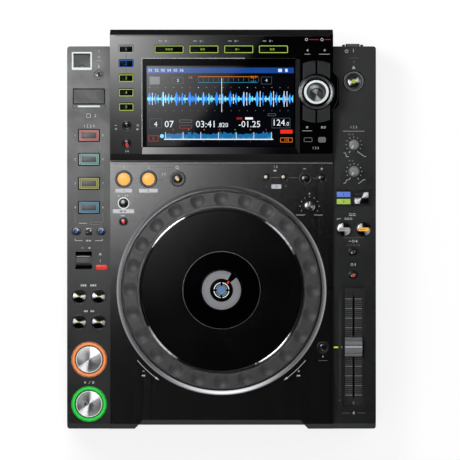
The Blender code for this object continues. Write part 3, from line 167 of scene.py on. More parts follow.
def finish(name, rgb, rough=0.4, metal=0.0, vary=0.2, patch=45, grain=1700, bump=0.2, depth=0.05,
        stretch=(1, 1, 1), glow=0.0, coat=0.0, aniso=0.0, wear=0.0, spec=0.5):
    """Patchy colour and roughness over a fine grain, with rubbed edges and a glow if asked."""
    look = Look(name, rough, metal, spec)
    cloud = look.noise(patch, 4, stretch)
    fine = look.noise(grain, 2, stretch)
    blend = look.math("ADD", look.math("MULTIPLY", cloud, 0.6), look.math("MULTIPLY", fine, 0.4))
    low, high = shades(rgb, vary)
    colour = look.mix(look.ranged(blend, 0, 1), low, high)
    if wear:
        soft = look.node("Bevel", {"Radius": 0.7 * MM}, samples=4)
        face = look.node("NewGeometry", out=1)
        edge = look.node("VectorMath", {0: soft, 1: face}, out=1, operation="DOT_PRODUCT")
        edge = look.ranged(edge, 1, 0, 0.75, 0.99)
        rub = look.math("MULTIPLY", edge, look.ranged(cloud, 0.1, wear))
        colour = look.mix(rub, colour, (*[min(1, 3 * c + 0.05) for c in linear(rgb)], 1))
    look.set(look.shader, {"Base Color": colour, "Normal": look.bump(fine, bump, depth)})
    look.set(look.shader, {"Roughness": look.ranged(cloud, rough * 0.82, min(1, rough * 1.18))})
    if coat:
        look.set(look.shader, {"Coat Weight": coat, "Coat Roughness": 0.04})
    if aniso:
        look.set(look.shader, {"Anisotropic": aniso})
    if glow:
        lit = look.mix(look.ranged(blend, 0, 1), *shades(rgb, vary * 0.6))
        body = look.mix(0.0 if glow < 0.3 else 0.75, colour, (0, 0, 0, 1))
        look.set(look.shader, {"Base Color": body, "Emission Color": lit, "Emission Strength": glow})
    return look.material


def spun_with_painted_highlights(name, rgb, shaded_sector_rgb=(30, 30, 31), rough=0.26, phase=0.0, width=0.5, shine=0.45, glow=None, core=0.0,
        folds=2, rays=5.0):
    """Turned metal: fine rings about the piece's axis, with painted highlights: bright and dark sectors by
    angle in the colour, and a painted glow in the bright sectors.
    """
    look = Look(name, rough, 1.0)
    place = look.node("SeparateXYZ", {"Vector": look.coordinates()})
    x, y = place, place.node.outputs[1]
    radius = look.math("SQRT", look.math("ADD", look.math("MULTIPLY", x, x), look.math("MULTIPLY", y, y)))
    angle = look.math("ARCTAN2", y, x)
    rings = look.node("TexNoise", {"W": look.math("MULTIPLY", radius, 9000.0), "Detail": 2.0},
        noise_dimensions="1D")
    rays = look.node("TexNoise", {"W": look.math("MULTIPLY", angle, float(rays)), "Detail": 3.0},
        noise_dimensions="1D")
    # Painted highlight: the colour turns from the shaded sectors to the bright ones by angle about the axis.
    highlight_sectors = look.math("COSINE", look.math("SUBTRACT", look.math("MULTIPLY", angle, float(folds)),
        folds * phase))
    highlight_sectors = look.math("ADD", highlight_sectors, look.math("MULTIPLY", rays, 0.5 if folds < 8 else 2.0))
    highlight_sectors = look.ranged(highlight_sectors, 0, 1, 1.25 - 2 * width, 1.25)
    fine = look.ranged(rings, 0.8, 1.1)
    colour = look.mix(highlight_sectors, (*linear(shaded_sector_rgb), 1), (*linear(rgb), 1))
    look.set(look.shader, {"Base Color": colour, "Normal": look.bump(rings, 0.1, 0.02)})
    look.set(look.shader, {"Roughness": look.ranged(rings, rough * 0.8, rough * 1.2)})
    look.set(look.shader, {"Anisotropic": 0.6, "Tangent": look.node("Tangent", direction_type="RADIAL")})
    # Painted glint: a glow in the bright sectors, which no lamp lights.
    power = look.math("MULTIPLY", look.math("MULTIPLY", highlight_sectors, fine), shine)
    lit = (*linear(rgb), 1)
    if glow:
        near = look.ranged(radius, 1, 0, core * 0.6 * MM, core * MM)
        colour = look.mix(near, colour, (0, 0, 0, 1))
        lit = look.mix(near, lit, (*linear(glow), 1))
        power = look.math("MAXIMUM", power, look.math("MULTIPLY", near, 0.9))
        look.set(look.shader, {"Base Color": colour})
    look.set(look.shader, {"Emission Color": lit, "Emission Strength": power})
    return look.material


case = finish("satin_case", (20, 21, 22), 0.33, vary=0.16, patch=30, grain=2600, bump=0.2, wear=0.3, spec=0.3)
under = finish("moulded_base", (26, 27, 28), 0.5, vary=0.2, grain=2200, bump=0.35, wear=0.4)
deck = finish("brushed_deck", (2, 2, 2), 0.2, vary=0.6, patch=900, grain=7000, bump=0.3,
    stretch=(1, 0.004, 1), wear=0.3, spec=0.42)
gloss = finish("black_lacquer", (4, 4, 5), 0.04, vary=0.3, patch=25, grain=900, bump=0.01, depth=0.02)
matte = finish("console_edge", (34, 34, 35), 0.55, vary=0.2, patch=40, grain=1800, bump=0.1, spec=0.0)
glass = finish("screen_glass", (2, 2, 3), 0.05, vary=0.3, patch=20, grain=700, bump=0.01, spec=0.05)
rim_look = finish("soft_rim", (46, 46, 47), 0.5, vary=0.3, patch=900, grain=2600, bump=0.5, depth=0.08,
    spec=0.4)
platter = finish("satin_platter", (3, 3, 4), 0.26, vary=0.25, patch=18, grain=2600, bump=0.1, spec=0.06)
centre_look = finish("platter_centre", (1, 1, 2), 0.14, vary=0.3, patch=30, grain=1500, bump=0.04, spec=0.04)
dark_metal = finish("dark_metal", (88, 89, 92), 0.34, 1.0, vary=0.2, patch=60, grain=1500, bump=0.2, wear=0.4)
stripe_look = finish("stripe_grey", (104, 105, 105), 0.4, vary=0.1, patch=40, grain=2200, bump=0.05)
black_key = finish("black_key", (6, 6, 7), 0.14, vary=0.3, patch=160, grain=2400, bump=0.03)
bezel = finish("dark_bezel", (12, 12, 13), 0.3, vary=0.2, patch=160, grain=2400, bump=0.1, spec=0.3)
well = finish("dark_well", (20, 20, 21), 0.45, vary=0.2, patch=60, grain=2400, bump=0.1, spec=0.3)
grey_key = finish("grey_key", (36, 37, 38), 0.36, vary=0.12, patch=90, grain=2400, bump=0.2, wear=0.4,
    spec=0.25)
door = finish("grey_door", (26, 27, 28), 0.38, vary=0.12, patch=60, grain=2600, bump=0.2, wear=0.4, spec=0.22)
board = finish("board_green", (22, 70, 44), 0.5, vary=0.35, patch=300, grain=900, bump=0.4, depth=0.1)
cream = finish("cream_key", (206, 190, 172), 0.18, vary=0.1, patch=200, bump=0.05)
gold = finish("gold_contact", (214, 170, 84), 0.25, 1.0, vary=0.15, patch=200, grain=1800)
socket_black = finish("socket_black", (14, 14, 15), 0.4, vary=0.2, patch=90, grain=2000, bump=0.2)
screw_look = finish("screw_steel", (96, 97, 100), 0.3, 1.0, vary=0.25, patch=400, grain=2400, bump=0.3)
# Printed ink colours, each with a painted glow: they shine though no lamp lights them.
ink_painted_glow = finish("ink_white_painted_glow", (196, 198, 200), 0.5, vary=0.08, patch=300, grain=2600, glow=0.6)
pill_ink_painted_glow = finish("ink_pale_painted_glow", (178, 176, 184), 0.5, vary=0.05, patch=300, grain=2600, glow=0.1)
faint_painted_glow = finish("ink_grey_painted_glow", (126, 127, 129), 0.5, vary=0.12, patch=300, grain=2600, glow=0.35, spec=0.2)
dark_ink = finish("ink_black", (8, 8, 9), 0.6, vary=0.2, patch=300, grain=2600, spec=0.0)
# Turned metals with painted highlights: bright sectors with a painted glow on the cue, play, track and search
# caps, and a painted sheen by angle on the trim ring.
aluminium_painted_glints = spun_with_painted_highlights("spun_aluminium_painted_glints", (236, 237, 240), (138, 138, 139), 0.28, radians(58), 0.24, 0.6)
steel_painted_glints = spun_with_painted_highlights("spun_steel_painted_glints", (190, 190, 192), (10, 10, 11), 0.22, radians(-8), 0.28, 0.2)
silver_painted_sheen = spun_with_painted_highlights("ribbed_silver_painted_sheen", (200, 201, 204), (150, 151, 154), 0.3, 0.0, 0.5, 0.0, rays=160)


def lamp_look(name, rgb, glow=0.8, rough=0.35, vary=0.12):
    return finish(name, rgb, rough, vary=vary, patch=120, grain=1500, bump=0.12, glow=glow, spec=0.3)


lit_white = lamp_look("lit_white", (226, 234, 234))
lit_orange = lamp_look("lit_orange", (240, 142, 84))
lit_play = lamp_look("lit_play", (36, 205, 66))
lit_green = lamp_look("lit_green", (166, 196, 78), 0.7)
lit_amber = lamp_look("lit_amber", (250, 180, 84))
lit_red = lamp_look("lit_red", (212, 26, 12))
lit_blue = lamp_look("lit_blue", (92, 122, 200))
lit_lime = lamp_look("lit_lime", (186, 220, 30), 0.9)
lit_mint = lamp_look("lit_mint", (206, 217, 215), 0.75)
key_face = finish("key_face", (3, 3, 4), 0.2, vary=0.3, patch=160, grain=2400, bump=0.02, spec=0.08)
key_blue = lamp_look("key_blue", (34, 92, 176))
key_white = lamp_look("key_white", (168, 170, 168), 0.7)
pad_red = lamp_look("pad_red", (140, 66, 62), 0.95)
pad_teal = lamp_look("pad_teal", (104, 150, 148), 0.95)
pad_yellow = lamp_look("pad_yellow", (146, 146, 58), 0.95)
pad_blue = lamp_look("pad_blue", (66, 116, 142), 0.95)


# Outlines and solids, in millimetres about the piece's own middle


def ring_points(radius, steps, at=(0, 0)):
    turns = [2 * pi * i / steps for i in range(steps)]
    return [(at[0] + radius * cos(t), at[1] + radius * sin(t)) for t in turns]


def rounded(width, depth, radius, at=(0, 0), steps=5):
    points = []
    for i, (sx, sy) in enumerate(((1, 1), (-1, 1), (-1, -1), (1, -1))):
        x, y = sx * (width / 2 - radius), sy * (depth / 2 - radius)
        for k in range(steps + 1):
            turn = pi / 2 * (i + k / steps)
            points.append((at[0] + x + radius * cos(turn), at[1] + y + radius * sin(turn)))
    return points


def loft(bm, rings, hoop=False):
    loops = [[bm.verts.new(p) for p in ring] for ring in rings]
    pairs = list(zip(loops, loops[1:]))
    if hoop:
        pairs.append((loops[-1], loops[0]))
    for low, high in pairs:
        for i in range(len(low)):
            j = (i + 1) % len(low)
            bm.faces.new((low[i], low[j], high[j], high[i]))
    if not hoop:
        bm.faces.new(loops[0][::-1])
        bm.faces.new(loops[-1])
    return bm


def at_height(outline, z):
    return [(x, y, z) for x, y in outline]


def lathe(bm, profile, steps=64, hoop=False):
    return loft(bm, [at_height(ring_points(r, steps), z) for r, z in profile], hoop)


def slab(bm, outline, low, high, edge=0.0, inner=None):
    """A flat solid, with its top edge eased if an inner outline is given."""
    rings = [at_height(outline, low), at_height(outline, high - edge)]
    if inner:
        rings.append(at_height(inner, high))
    return loft(bm, rings)


def eased_disc(radius, low, high, steps=32):
    """A builder for a disc with its top edge eased."""
    return lambda bm: slab(bm, ring_points(radius, steps), low, high, 0.1, ring_points(radius - 0.2, steps))


def hoop(bm, outer, inner, low, high):
    rings = [at_height(outer, low), at_height(outer, high), at_height(inner, high), at_height(inner, low)]
    return loft(bm, rings, True)


def key_box(bm, width, depth, low, high, radius=1.0, edge=0.45, at=(0, 0)):
    """A rectangular cap with softly rounded top edges."""
    rings = [at_height(rounded(width, depth, radius, at), low)]
    for k in range(4):
        turn = pi / 6 * k
        cut = edge * (1 - cos(turn))
        rings.append(at_height(rounded(width - 2 * cut, depth - 2 * cut, radius - cut / 2, at),
            high - edge + edge * sin(turn)))
    return loft(bm, rings)


def flanged_key(bm, width, depth, top=1.6, edge=0.45):
    """A rectangular cap on the flange that keeps it in its opening."""
    slab(bm, rounded(width + 1.8, depth + 1.8, 1.9), CAP_FOOT, CAP_FOOT + 1)
    key_box(bm, width, depth, -2.7, top, 1.0, edge)


def new_piece(name, bm, material, body, plane, at=None, lift=0.0, node=None, angle=32, level=False):
    """Makes the object from a mesh in millimetres and puts it on its plane and body."""
    bmesh.ops.remove_doubles(bm, verts=bm.verts, dist=0.0005)
    bmesh.ops.dissolve_degenerate(bm, edges=bm.edges, dist=0.0001)
    if not level:
        bmesh.ops.recalc_face_normals(bm, faces=bm.faces)
    bmesh.ops.scale(bm, vec=(MM, MM, MM), verts=bm.verts)
    mesh = bpy.data.meshes.new(name)
    bm.to_mesh(mesh)
    bm.free()
    mesh.shade_smooth()
    mesh.set_sharp_from_angle(angle=radians(angle))
    mesh.materials.append(material)
    obj = bpy.data.objects.new(name, mesh)
    bpy.context.scene.collection.objects.link(obj)
    x, y = plane.flat(*at) if at else (0, 0)
    obj.matrix_world = plane.matrix @ Matrix.Translation((x * MM, y * MM, lift * MM))
    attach(obj, body)
    if node:
        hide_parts(node)
    return obj


def solid(name, build, material, body, plane, at=None, lift=0.0, **more):
    bm = bmesh.new()
    build(bm)
    return new_piece(name, bm, material, body, plane, at, lift, **more)


# Prints: flat marks just above a face


class Print:
    """Flat marks of one colour on one plane, which become one piece."""

    def __init__(self, plane):
        self.plane = plane
        self.bm = bmesh.new()

    def face(self, points):
        flat = [self.plane.flat(x, y) for x, y in points]
        area = sum(a[0] * b[1] - b[0] * a[1] for a, b in zip(flat, flat[1:] + flat[:1]))
        flat = flat if area > 0 else flat[::-1]
        self.bm.faces.new([self.bm.verts.new((x, y, 0)) for x, y in flat])

    def box(self, x, y, width, depth):
        w, d = width / 2, depth / 2
        self.face([(x - w, y - d), (x + w, y - d), (x + w, y + d), (x - w, y + d)])

    def pill(self, x, y, width, depth, radius=0.9):
        self.face(rounded(width, depth, min(radius, depth / 2.01), (x, y)))

    def band(self, outer, inner):
        for i in range(len(outer)):
            j = (i + 1) % len(outer)
            self.face([outer[i], outer[j], inner[j], inner[i]])

    def outline(self, x, y, width, depth, line=0.4, radius=0.8):
        self.band(rounded(width, depth, radius, (x, y)),
            rounded(width - 2 * line, depth - 2 * line, max(radius - line, 0.05), (x, y)))

    def line(self, points, width=0.4):
        for (ax, ay), (bx, by) in zip(points, points[1:]):
            long = hypot(bx - ax, by - ay) or 1
            nx, ny = -(by - ay) / long * width / 2, (bx - ax) / long * width / 2
            self.face([(ax + nx, ay + ny), (bx + nx, by + ny), (bx - nx, by - ny), (ax - nx, ay - ny)])

    def arc(self, x, y, radius, start, end, width=0.4, steps=24):
        turns = [radians(start + (end - start) * i / steps) for i in range(steps + 1)]
        self.line([(x + radius * cos(t), y + radius * sin(t)) for t in turns], width)

    def disc(self, x, y, radius, steps=20):
        self.face(ring_points(radius, steps, (x, y)))

    def icon(self, kind, x, y, size=2.6):
        """Plain transport and function signs, drawn from triangles, bars and arcs."""
        s = size / 2
        for sign in kind:
            if sign in "<>":
                d = s if sign == ">" else -s
                self.face([(x - d * 0.8, y - s), (x - d * 0.8, y + s), (x + d * 0.9, y)])
                x += size * 0.85
            elif sign == "|":
                self.box(x - s * 0.35, y, s * 0.5, 2 * s)
                x += size * 0.45
            elif sign == "^":
                self.face([(x - s, y - s * 0.3), (x + s, y - s * 0.3), (x, y + s)])
                self.box(x, y - s * 0.8, 2 * s, s * 0.4)
            elif sign == "+":
                self.box(x, y, 2 * s, s * 0.4)
                self.box(x, y + s * 0.6, s * 0.4, s * 0.8)
                self.box(x, y - s * 0.6, s * 0.4, s * 0.8)
            elif sign == "-":
                self.box(x, y, 2 * s, s * 0.4)
                x += size * 1.3
            elif sign == "o":
                self.arc(x, y, s * 0.85, 0, 360, s * 0.35)
                x += size * 1.3
            elif sign == "@":
                self.arc(x, y, s * 0.85, 30, 320, s * 0.35)
                self.face([(x + s * 0.2, y - s * 0.2), (x + s * 1.3, y - s * 0.2),
                    (x + s * 0.8, y - s * 1.1)])
                x += size * 1.3
            elif sign == "p":
                self.arc(x, y, s * 0.85, 125, 415, s * 0.3)
                self.box(x, y + s * 0.6, s * 0.3, s)
            elif sign == "=":
                for k in (-1, 0, 1):
                    self.box(x, y + k * s * 0.7, 2 * s, s * 0.32)
                x += size * 1.3
            elif sign == ".":
                self.disc(x, y, s * 0.35)
                x += size * 0.8

    def add(self, **rows):
        """Draws every row of values with the method that its key names."""
        for kind, values in rows.items():
            for value in values:
                getattr(self, kind)(*value)

    def number(self, text, x, y, size=3.0, align="CENTER"):
        """Plain figures, from the program's built-in letterforms."""
        curve = bpy.data.curves.new("figures", "FONT")
        curve.body, curve.size, curve.resolution_u = text, size * FIGURE_SCALE, 2
        curve.align_x, curve.align_y = align, "CENTER"
        holder = bpy.data.objects.new("figures", curve)
        bpy.context.scene.collection.objects.link(holder)
        bpy.context.view_layer.update()
        mesh = bpy.data.meshes.new_from_object(holder.evaluated_get(bpy.context.evaluated_depsgraph_get()))
        fx, fy = self.plane.flat(x, y)
        mesh.transform(Matrix.Translation((fx, fy, 0)) @ Matrix.Diagonal((1, 1 / self.plane.squeeze, 1, 1)))
        self.bm.from_mesh(mesh)
        bpy.data.objects.remove(holder)
        bpy.data.curves.remove(curve)
        bpy.data.meshes.remove(mesh)

    def done(self, name, material, body="chassis", lift=PRINT_LIFT):
        return new_piece(name, self.bm, material, body, self.plane, None, lift, level=True)


def prints(name, plane, material, body="chassis", lift=PRINT_LIFT, **rows):
    """One printed piece from rows of marks."""
    marks = Print(plane)
    marks.add(**rows)
    marks.done(name, material, body, lift)


# Panels and other CAD nodes that keep their shape


def dress(node, material):
    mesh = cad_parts[node].data
    mesh.materials.clear()
    mesh.materials.append(material)


for node, material in {"bottom_case": under, "upper_case": case, "deck_panel": deck, "console_case": gloss,
        "display_glass": glass, "jog_hub": dark_metal, "disc_loader": dark_metal, "main_board": board,
        "tempo_fader_unit": well, "usb_cover": door, "sd_cover": door, "selector_shaft": dark_metal,
        "power_button": black_key, "direction_lever": black_key, "back_key": grey_key, "tag_key": grey_key,
        "filter_key": grey_key, "shortcut_key": grey_key}.items():
    dress(node, material)
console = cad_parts["console_case"].data
console.materials.append(matte)
for polygon in console.polygons:
    if polygon.normal.z < 0.93:
        polygon.material_index = 1


# Sockets in the rear wall: black plastic and metal over the board's own forms
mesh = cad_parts["main_board"].data
mesh.materials.append(socket_black)
for polygon in mesh.polygons:
    if polygon.center.y > 0.17:
        polygon.material_index = 1


def at_rear(name, build, x, z, material):
    """A piece built with its top outward, on the rear wall."""
    return solid(name, build, material, "chassis", Plane((x, 197, z), radians(-90)))


nickel = finish("nickel", (176, 174, 168), 0.24, 1.0, vary=0.12, patch=300, grain=1800, bump=0.1)
shell = [(4.35, 0.05), (4.7, 0.05), (4.7, 7.3), (4.5, 7.6), (4.05, 7.62), (4.0, 7.45), (4.35, 7.4)]
for i, (x, rgb) in enumerate(((-80.0, (206, 206, 202)), (-54.9, (176, 30, 26)), (-29.7, (206, 118, 30)))):
    insert = finish(f"phono_insert_{i + 1}", rgb, 0.35, vary=0.1, patch=300, bump=0.1)
    at_rear(f"phono_shell_{i + 1}", lambda bm: lathe(bm, shell, 48, True), x, 22, nickel)
    at_rear(f"phono_insert_{i + 1}", lambda bm: lathe(bm,
        [(1.9, 7.5), (3.95, 7.5), (3.95, 7.58), (3.6, 7.66), (1.9, 7.66)], 40, True), x, 22, insert)
    at_rear(f"phono_collar_{i + 1}", lambda bm: lathe(bm,
        [(4.75, 0.02), (5.9, 0.02), (5.9, 0.5), (5.6, 0.8), (4.75, 0.8)], 6, True), x, 22, nickel)
    at_rear(f"phono_mark_{i + 1}", lambda bm: slab(bm, rounded(6.0, 0.7, 0.2), 0.0, 0.12), x, 32, ink_painted_glow)


for i, (x, z) in enumerate(((76.6, 23.6), (88.0, 23.6), (82.3, 28.6))):
    at_rear(f"inlet_pin_{i + 1}", lambda bm: key_box(bm, 1.9, 4.4, -18, -3.5, 0.5, 0.3), x, z, nickel)
for name, x, z, wide, tall in (("inlet", 82.3, 25.35, 24.4, 16.9), ("link", 34.25, 22.35, 12.9, 10.9),
        ("host", 2.3, 21.0, 8.6, 8.2)):
    at_rear(name + "_lining", lambda bm: hoop(bm, rounded(wide, tall, 0.8),
        rounded(wide - 1.2, tall - 1.2, 0.5), -7, -0.2), x, z, socket_black if name == "inlet" else nickel)
    at_rear(name + "_mark", lambda bm: slab(bm, rounded(wide * 0.5, 0.7, 0.2), 0.0, 0.12), x,
        z + tall / 2 + 4.2, ink_painted_glow)
at_rear("host_tongue", lambda bm: key_box(bm, 4.6, 3.4, -14, -2.5, 0.4, 0.3), 2.3, 21.2, socket_black)
for k in range(8):
    at_rear(f"link_contact_{k + 1}", lambda bm: key_box(bm, 0.6, 1.0, -12, -3.0, 0.1, 0.1), 30.75 + k, 26.3,
        gold)


def screw(bm):
    """A pan head with a cross recess."""
    def star(z):
        turns = [pi / 24 * i for i in range(48)]
        reach = [1.5 if abs((t + pi / 4) % (pi / 2) - pi / 4) < 0.2 else 0.6 for t in turns]
        return [(r * cos(t), r * sin(t), z) for r, t in zip(reach, turns)]
    rings = [at_height(ring_points(r, 48), z) for r, z in ((2.8, -0.3), (2.8, 0.2), (2.5, 0.6), (1.9, 0.8))]
    loft(bm, rings + [star(0.84), star(0.2)])


for i, (x, z) in enumerate(((64.6, 25.4), (100.0, 25.4), (-104, 25.4), (-13.5, 25.4), (52, 38.0),
        (-67, 38.0))):
    at_rear(f"rear_screw_{i + 1}", screw, x, z, screw_look)
for i, (x, y) in enumerate(((-130, 60), (-130, -80), (130, 60), (130, -80), (-50, -160), (50, -160),
        (-50, 150), (50, 150))):
    solid(f"base_screw_{i + 1}", screw, screw_look, "chassis", Plane((x, y, 8), pi))


# Round keys


def cap_profile(radius, top, foot, style):
    """Half section of a round cap from its flange up. Styles are flat, dome and dish."""
    flange, edge = radius + 0.9, 0.45
    points = [(0, foot), (flange, foot), (flange, foot + 1), (radius, foot + 1)]
    if style == "dome":
        drop = min(1.1, top - foot - 1.2)
        for k in range(9):
            turn = pi / 2 * k / 8
            points.append((radius * cos(turn), top - drop + drop * sin(turn)))
    else:
        points += [(radius - edge * (1 - cos(pi / 2 * k / 4)),
            top - edge + edge * sin(pi / 2 * k / 4)) for k in range(5)]
        points.append((0, top - (0.35 if style == "dish" else 0.02)))
    return points


def round_cap(node, x, y, plane, radius, material, style="flat", top=1.6, foot=CAP_FOOT, steps=56):
    profile = cap_profile(radius, top, foot, style)
    return solid(node + "_cap", lambda bm: lathe(bm, profile, steps), material, node, plane, (x, y),
        node=node)


def ring_piece(name, x, y, plane, inner, outer, material, low=-0.4, high=0.9, crown=0.25, steps=72):
    """A raised ring with a softly rounded top, on a fixed face."""
    wide = (outer - inner) / 2
    points = [(outer, low)]
    for k in range(7):
        turn = pi * k / 6
        points.append(((outer + inner) / 2 + wide * cos(turn), high - crown + crown * sin(turn)))
    points.append((inner, low))
    return solid(name, lambda bm: lathe(bm, points, steps, True), material, "chassis", plane, (x, y))


def dot_on(name, cap, x, y, plane, radius, material, lift):
    """A small lit disc, domed, on top of a cap."""
    points = [(radius, 0), (radius * 0.8, 0.12), (radius * 0.4, 0.2), (0, 0.22)]
    return solid(name, lambda bm: lathe(bm, [(0, 0)] + points, 24), material, cap, plane, (x, y), lift)


# Keys of the two strips
for name, y, ring_look in (("cue_button", -135.0, lit_orange), ("play_button", -181.1, lit_play)):
    round_cap(name, -137.2, y, STRIP, 13.5, aluminium_painted_glints, "flat", 2.1, -3.8, 96)
    ring_piece(name + "_light", -137.2, y, STRIP, 14.0, 18.35, ring_look, crown=0.5, steps=96)
    solid(name + "_rim", lambda bm: hoop(bm, ring_points(13.45, 96), ring_points(12.85, 96), 1.6, 2.3),
        lit_white, name, STRIP, (-137.2, y))

prints("play_mark", STRIP, dark_ink, "play_button", 2.2,
    icon=[(">", -140.6, -181.1, 3.4), ("||", -134.8, -181.1, 3.4)])
prints("cue_mark", STRIP, dark_ink, "cue_button", 2.2,
    icon=[("|", -139.6, -135.0, 2.6), ("o", -136.6, -135.0, 2.8)])

for name, x, y in (("track_back_key", -147.41, -69.6), ("track_next_key", -127.3, -69.6),
        ("search_back_key", -147.41, -96.2), ("search_next_key", -127.3, -96.2)):
    round_cap(name, x, y, STRIP, 6.7, steel_painted_glints, "flat")
    ring_piece(name + "_seat", x, y, STRIP, 7.0, 7.7, black_key, high=0.35, crown=0.2)
    # The yellow line is printed, with a painted glow.
    prints(name + "_mark", STRIP, finish(name + "_yellow", (222, 206, 40), 0.4, glow=0.3), name, 1.66,
        box=[(x, y, 7.4, 0.5)], icon=[("<<" if "back" in name else ">>", x - 1.1, y, 1.9)])

# Key inserts and the sync and master caps: painted glints in bright sectors over a dark ground, with a centre
# in the glow colour where one is given.
NE = radians(50)
blue_eye = spun_with_painted_highlights("blue_eye", (150, 158, 172), (8, 9, 11), 0.22, NE, 0.12, 0.2, (34, 104, 196), 1.9)
red_eye = spun_with_painted_highlights("red_eye", (196, 190, 186), (8, 8, 8), 0.22, radians(24), 0.16, 0.2, (196, 56, 38), 2.0)
green_eye = spun_with_painted_highlights("green_eye", (196, 198, 194), (34, 35, 34), 0.24, radians(15), 0.4, 0.16, (164, 196, 24),
    2.6)
dark_eye = spun_with_painted_highlights("dark_eye", (196, 196, 198), (7, 7, 8), 0.22, radians(24), 0.14, 0.16, (8, 8, 9), 1.7)
pale_eye = spun_with_painted_highlights("pale_eye", (226, 226, 226), (16, 16, 17), 0.25, radians(150), 0.72, 0.3)
amber_eye = spun_with_painted_highlights("amber_eye", (206, 204, 200), (16, 14, 12), 0.25, radians(150), 0.6, 0.3)
# Round keys: the place, the radius, the finish and the cap's style
small = (("bank_left_key", -150.4, -2.5, STRIP, 4.1, blue_eye, "flat"),
    ("bank_right_key", -124.4, -2.5, STRIP, 4.1, blue_eye, "flat"),
    ("usb_stop_key", -127.1, 160.3, STRIP, 3.7, dark_eye, "flat"),
    ("eject_button", 136.9, 153.2, STRIP, 6.1, green_eye, "flat"),
    ("sync_key", 126.8, -0.1, STRIP, 6.6, pale_eye, "flat"),
    ("master_key", 147.3, -0.1, STRIP, 6.6, amber_eye, "flat"),
    ("tempo_range_key", 136.7, -23.8, STRIP, 4.1, dark_eye, "flat"),
    ("master_tempo_key", 136.7, -47.7, STRIP, 4.1, red_eye, "flat"),
    ("loop_in_key", -101.18, 51.96, DECK, 6.4, lit_amber, "dome"),
    ("loop_out_key", -75.65, 51.96, DECK, 6.4, lit_amber, "dome"),
    ("reloop_key", -45.28, 52.2, DECK, 4.7, black_key, "dome"),
    ("beat_loop_key", -101.41, 27.0, DECK, 4.8, black_key, "dome"),
    ("slip_key", -101.52, 7.7, DECK, 4.1, black_key, "dome"),
    ("call_back_key", 46.43, 53.4, DECK, 3.6, black_key, "dome"),
    ("call_next_key", 64.45, 53.4, DECK, 3.6, black_key, "dome"),
    ("delete_key", 86.97, 52.3, DECK, 4.5, black_key, "dome"),
    ("memory_key", 103.83, 52.87, DECK, 4.1, black_key, "dome"),
    ("tempo_reset_key", 105.11, -122.2, DECK, 4.1, black_key, "dome"),
    ("time_mode_key", -97.9, 107.0, SLOPE, 4.1, black_key, "dome"),
    ("quantize_key", -98.06, 88.6, SLOPE, 4.1, black_key, "dome"))
for name, x, y, plane, radius, material, style in small:
    eye = style == "flat" and radius < 5
    round_cap(name, x, y, plane, radius, black_key if eye else material, style,
        foot=-5.6 if plane is SLOPE else CAP_FOOT)
    if eye:
        solid(name + "_eye", eased_disc(EYE_RADIUS, 1.4, 1.72), material, name, plane, (x, y))

# A grey ring with a faint painted glow.
ring_grey_painted_glow = finish("ring_grey_painted_glow", (128, 129, 130), 0.4, vary=0.15, patch=120, grain=1500, bump=0.05, glow=0.12)

# Rings round the round keys: the key, the inner and outer radius, the finish and the height
at_key = {name: place for name, *place, radius, material, style in small}
rings = (("eject_ring", "eject_button", 6.5, 11.3, black_key, 0.9),
    ("eject_line", "eject_button", 9.4, 10.0, ring_grey_painted_glow, 1.1),
    ("loop_in_ring", "loop_in_key", 6.8, 9.1, bezel, 0.95),
    ("loop_out_ring", "loop_out_key", 6.8, 9.1, bezel, 0.95),
    ("reloop_ring", "reloop_key", 5.05, 8.3, bezel, 0.9),
    ("beat_ring", "beat_loop_key", 5.15, 6.0, lit_white, 0.95),
    ("delete_ring", "delete_key", 4.85, 6.9, bezel, 0.95),
    ("reset_ring", "tempo_reset_key", 4.4, 6.4, bezel, 0.95),
    ("stop_ring", "usb_stop_key", 4.0, 5.3, black_key, 0.95),
    ("sync_seat", "sync_key", 6.95, 7.8, black_key, 0.4),
    ("master_seat", "master_key", 6.95, 7.8, black_key, 0.4),
    ("range_seat", "tempo_range_key", 4.4, 5.1, black_key, 0.35),
    ("lock_seat", "master_tempo_key", 4.4, 5.1, black_key, 0.35),
    ("bank_left_seat", "bank_left_key", 4.4, 5.2, black_key, 0.35),
    ("bank_right_seat", "bank_right_key", 4.4, 5.2, black_key, 0.35),
    ("slip_seat", "slip_key", 4.4, 5.0, black_key, 0.35),
    ("call_back_seat", "call_back_key", 3.9, 4.5, black_key, 0.35),
    ("call_next_seat", "call_next_key", 3.9, 4.5, black_key, 0.35),
    ("memory_seat", "memory_key", 4.4, 5.0, black_key, 0.35),
    ("time_seat", "time_mode_key", 4.4, 5.0, black_key, 0.35),
    ("quantize_seat", "quantize_key", 4.4, 5.0, black_key, 0.35))
for name, key, inner, outer, material, high in rings:
    ring_piece(name, *at_key[key], inner, outer, material, high=high, crown=min(0.3, high / 2))
dot_on("reloop_lamp", "reloop_key", -45.28, 51.6, DECK, 1.5, lit_amber, 1.52)
dot_on("slip_lamp", "slip_key", -101.52, 7.3, DECK, 1.7, lit_red, 1.52)
dot_on("quantize_lamp", "quantize_key", -98.06, 88.2, SLOPE, 1.7, lit_red, 1.52)
for name, x, look_of in (("sync_key", 126.8, key_white), ("master_key", 147.3, lit_amber)):
    solid(name + "_band", lambda bm: slab(bm, rounded(10.6, 3.6, 0.9), 1.5, 1.72), look_of, name, STRIP,
        (x, -0.1))
    prints(name + "_mark", STRIP, dark_ink, name, 1.76,
        icon=[("o=o" if name == "sync_key" else "=o=", x - 3.4, -0.1, 1.6)])
for name, x in (("call_back_key", 46.43), ("call_next_key", 64.45)):
    solid(name + "_top", eased_disc(1.7, 0, 0.3, 24), cream, name, DECK, (x - 0.6, 54.2), 1.35)

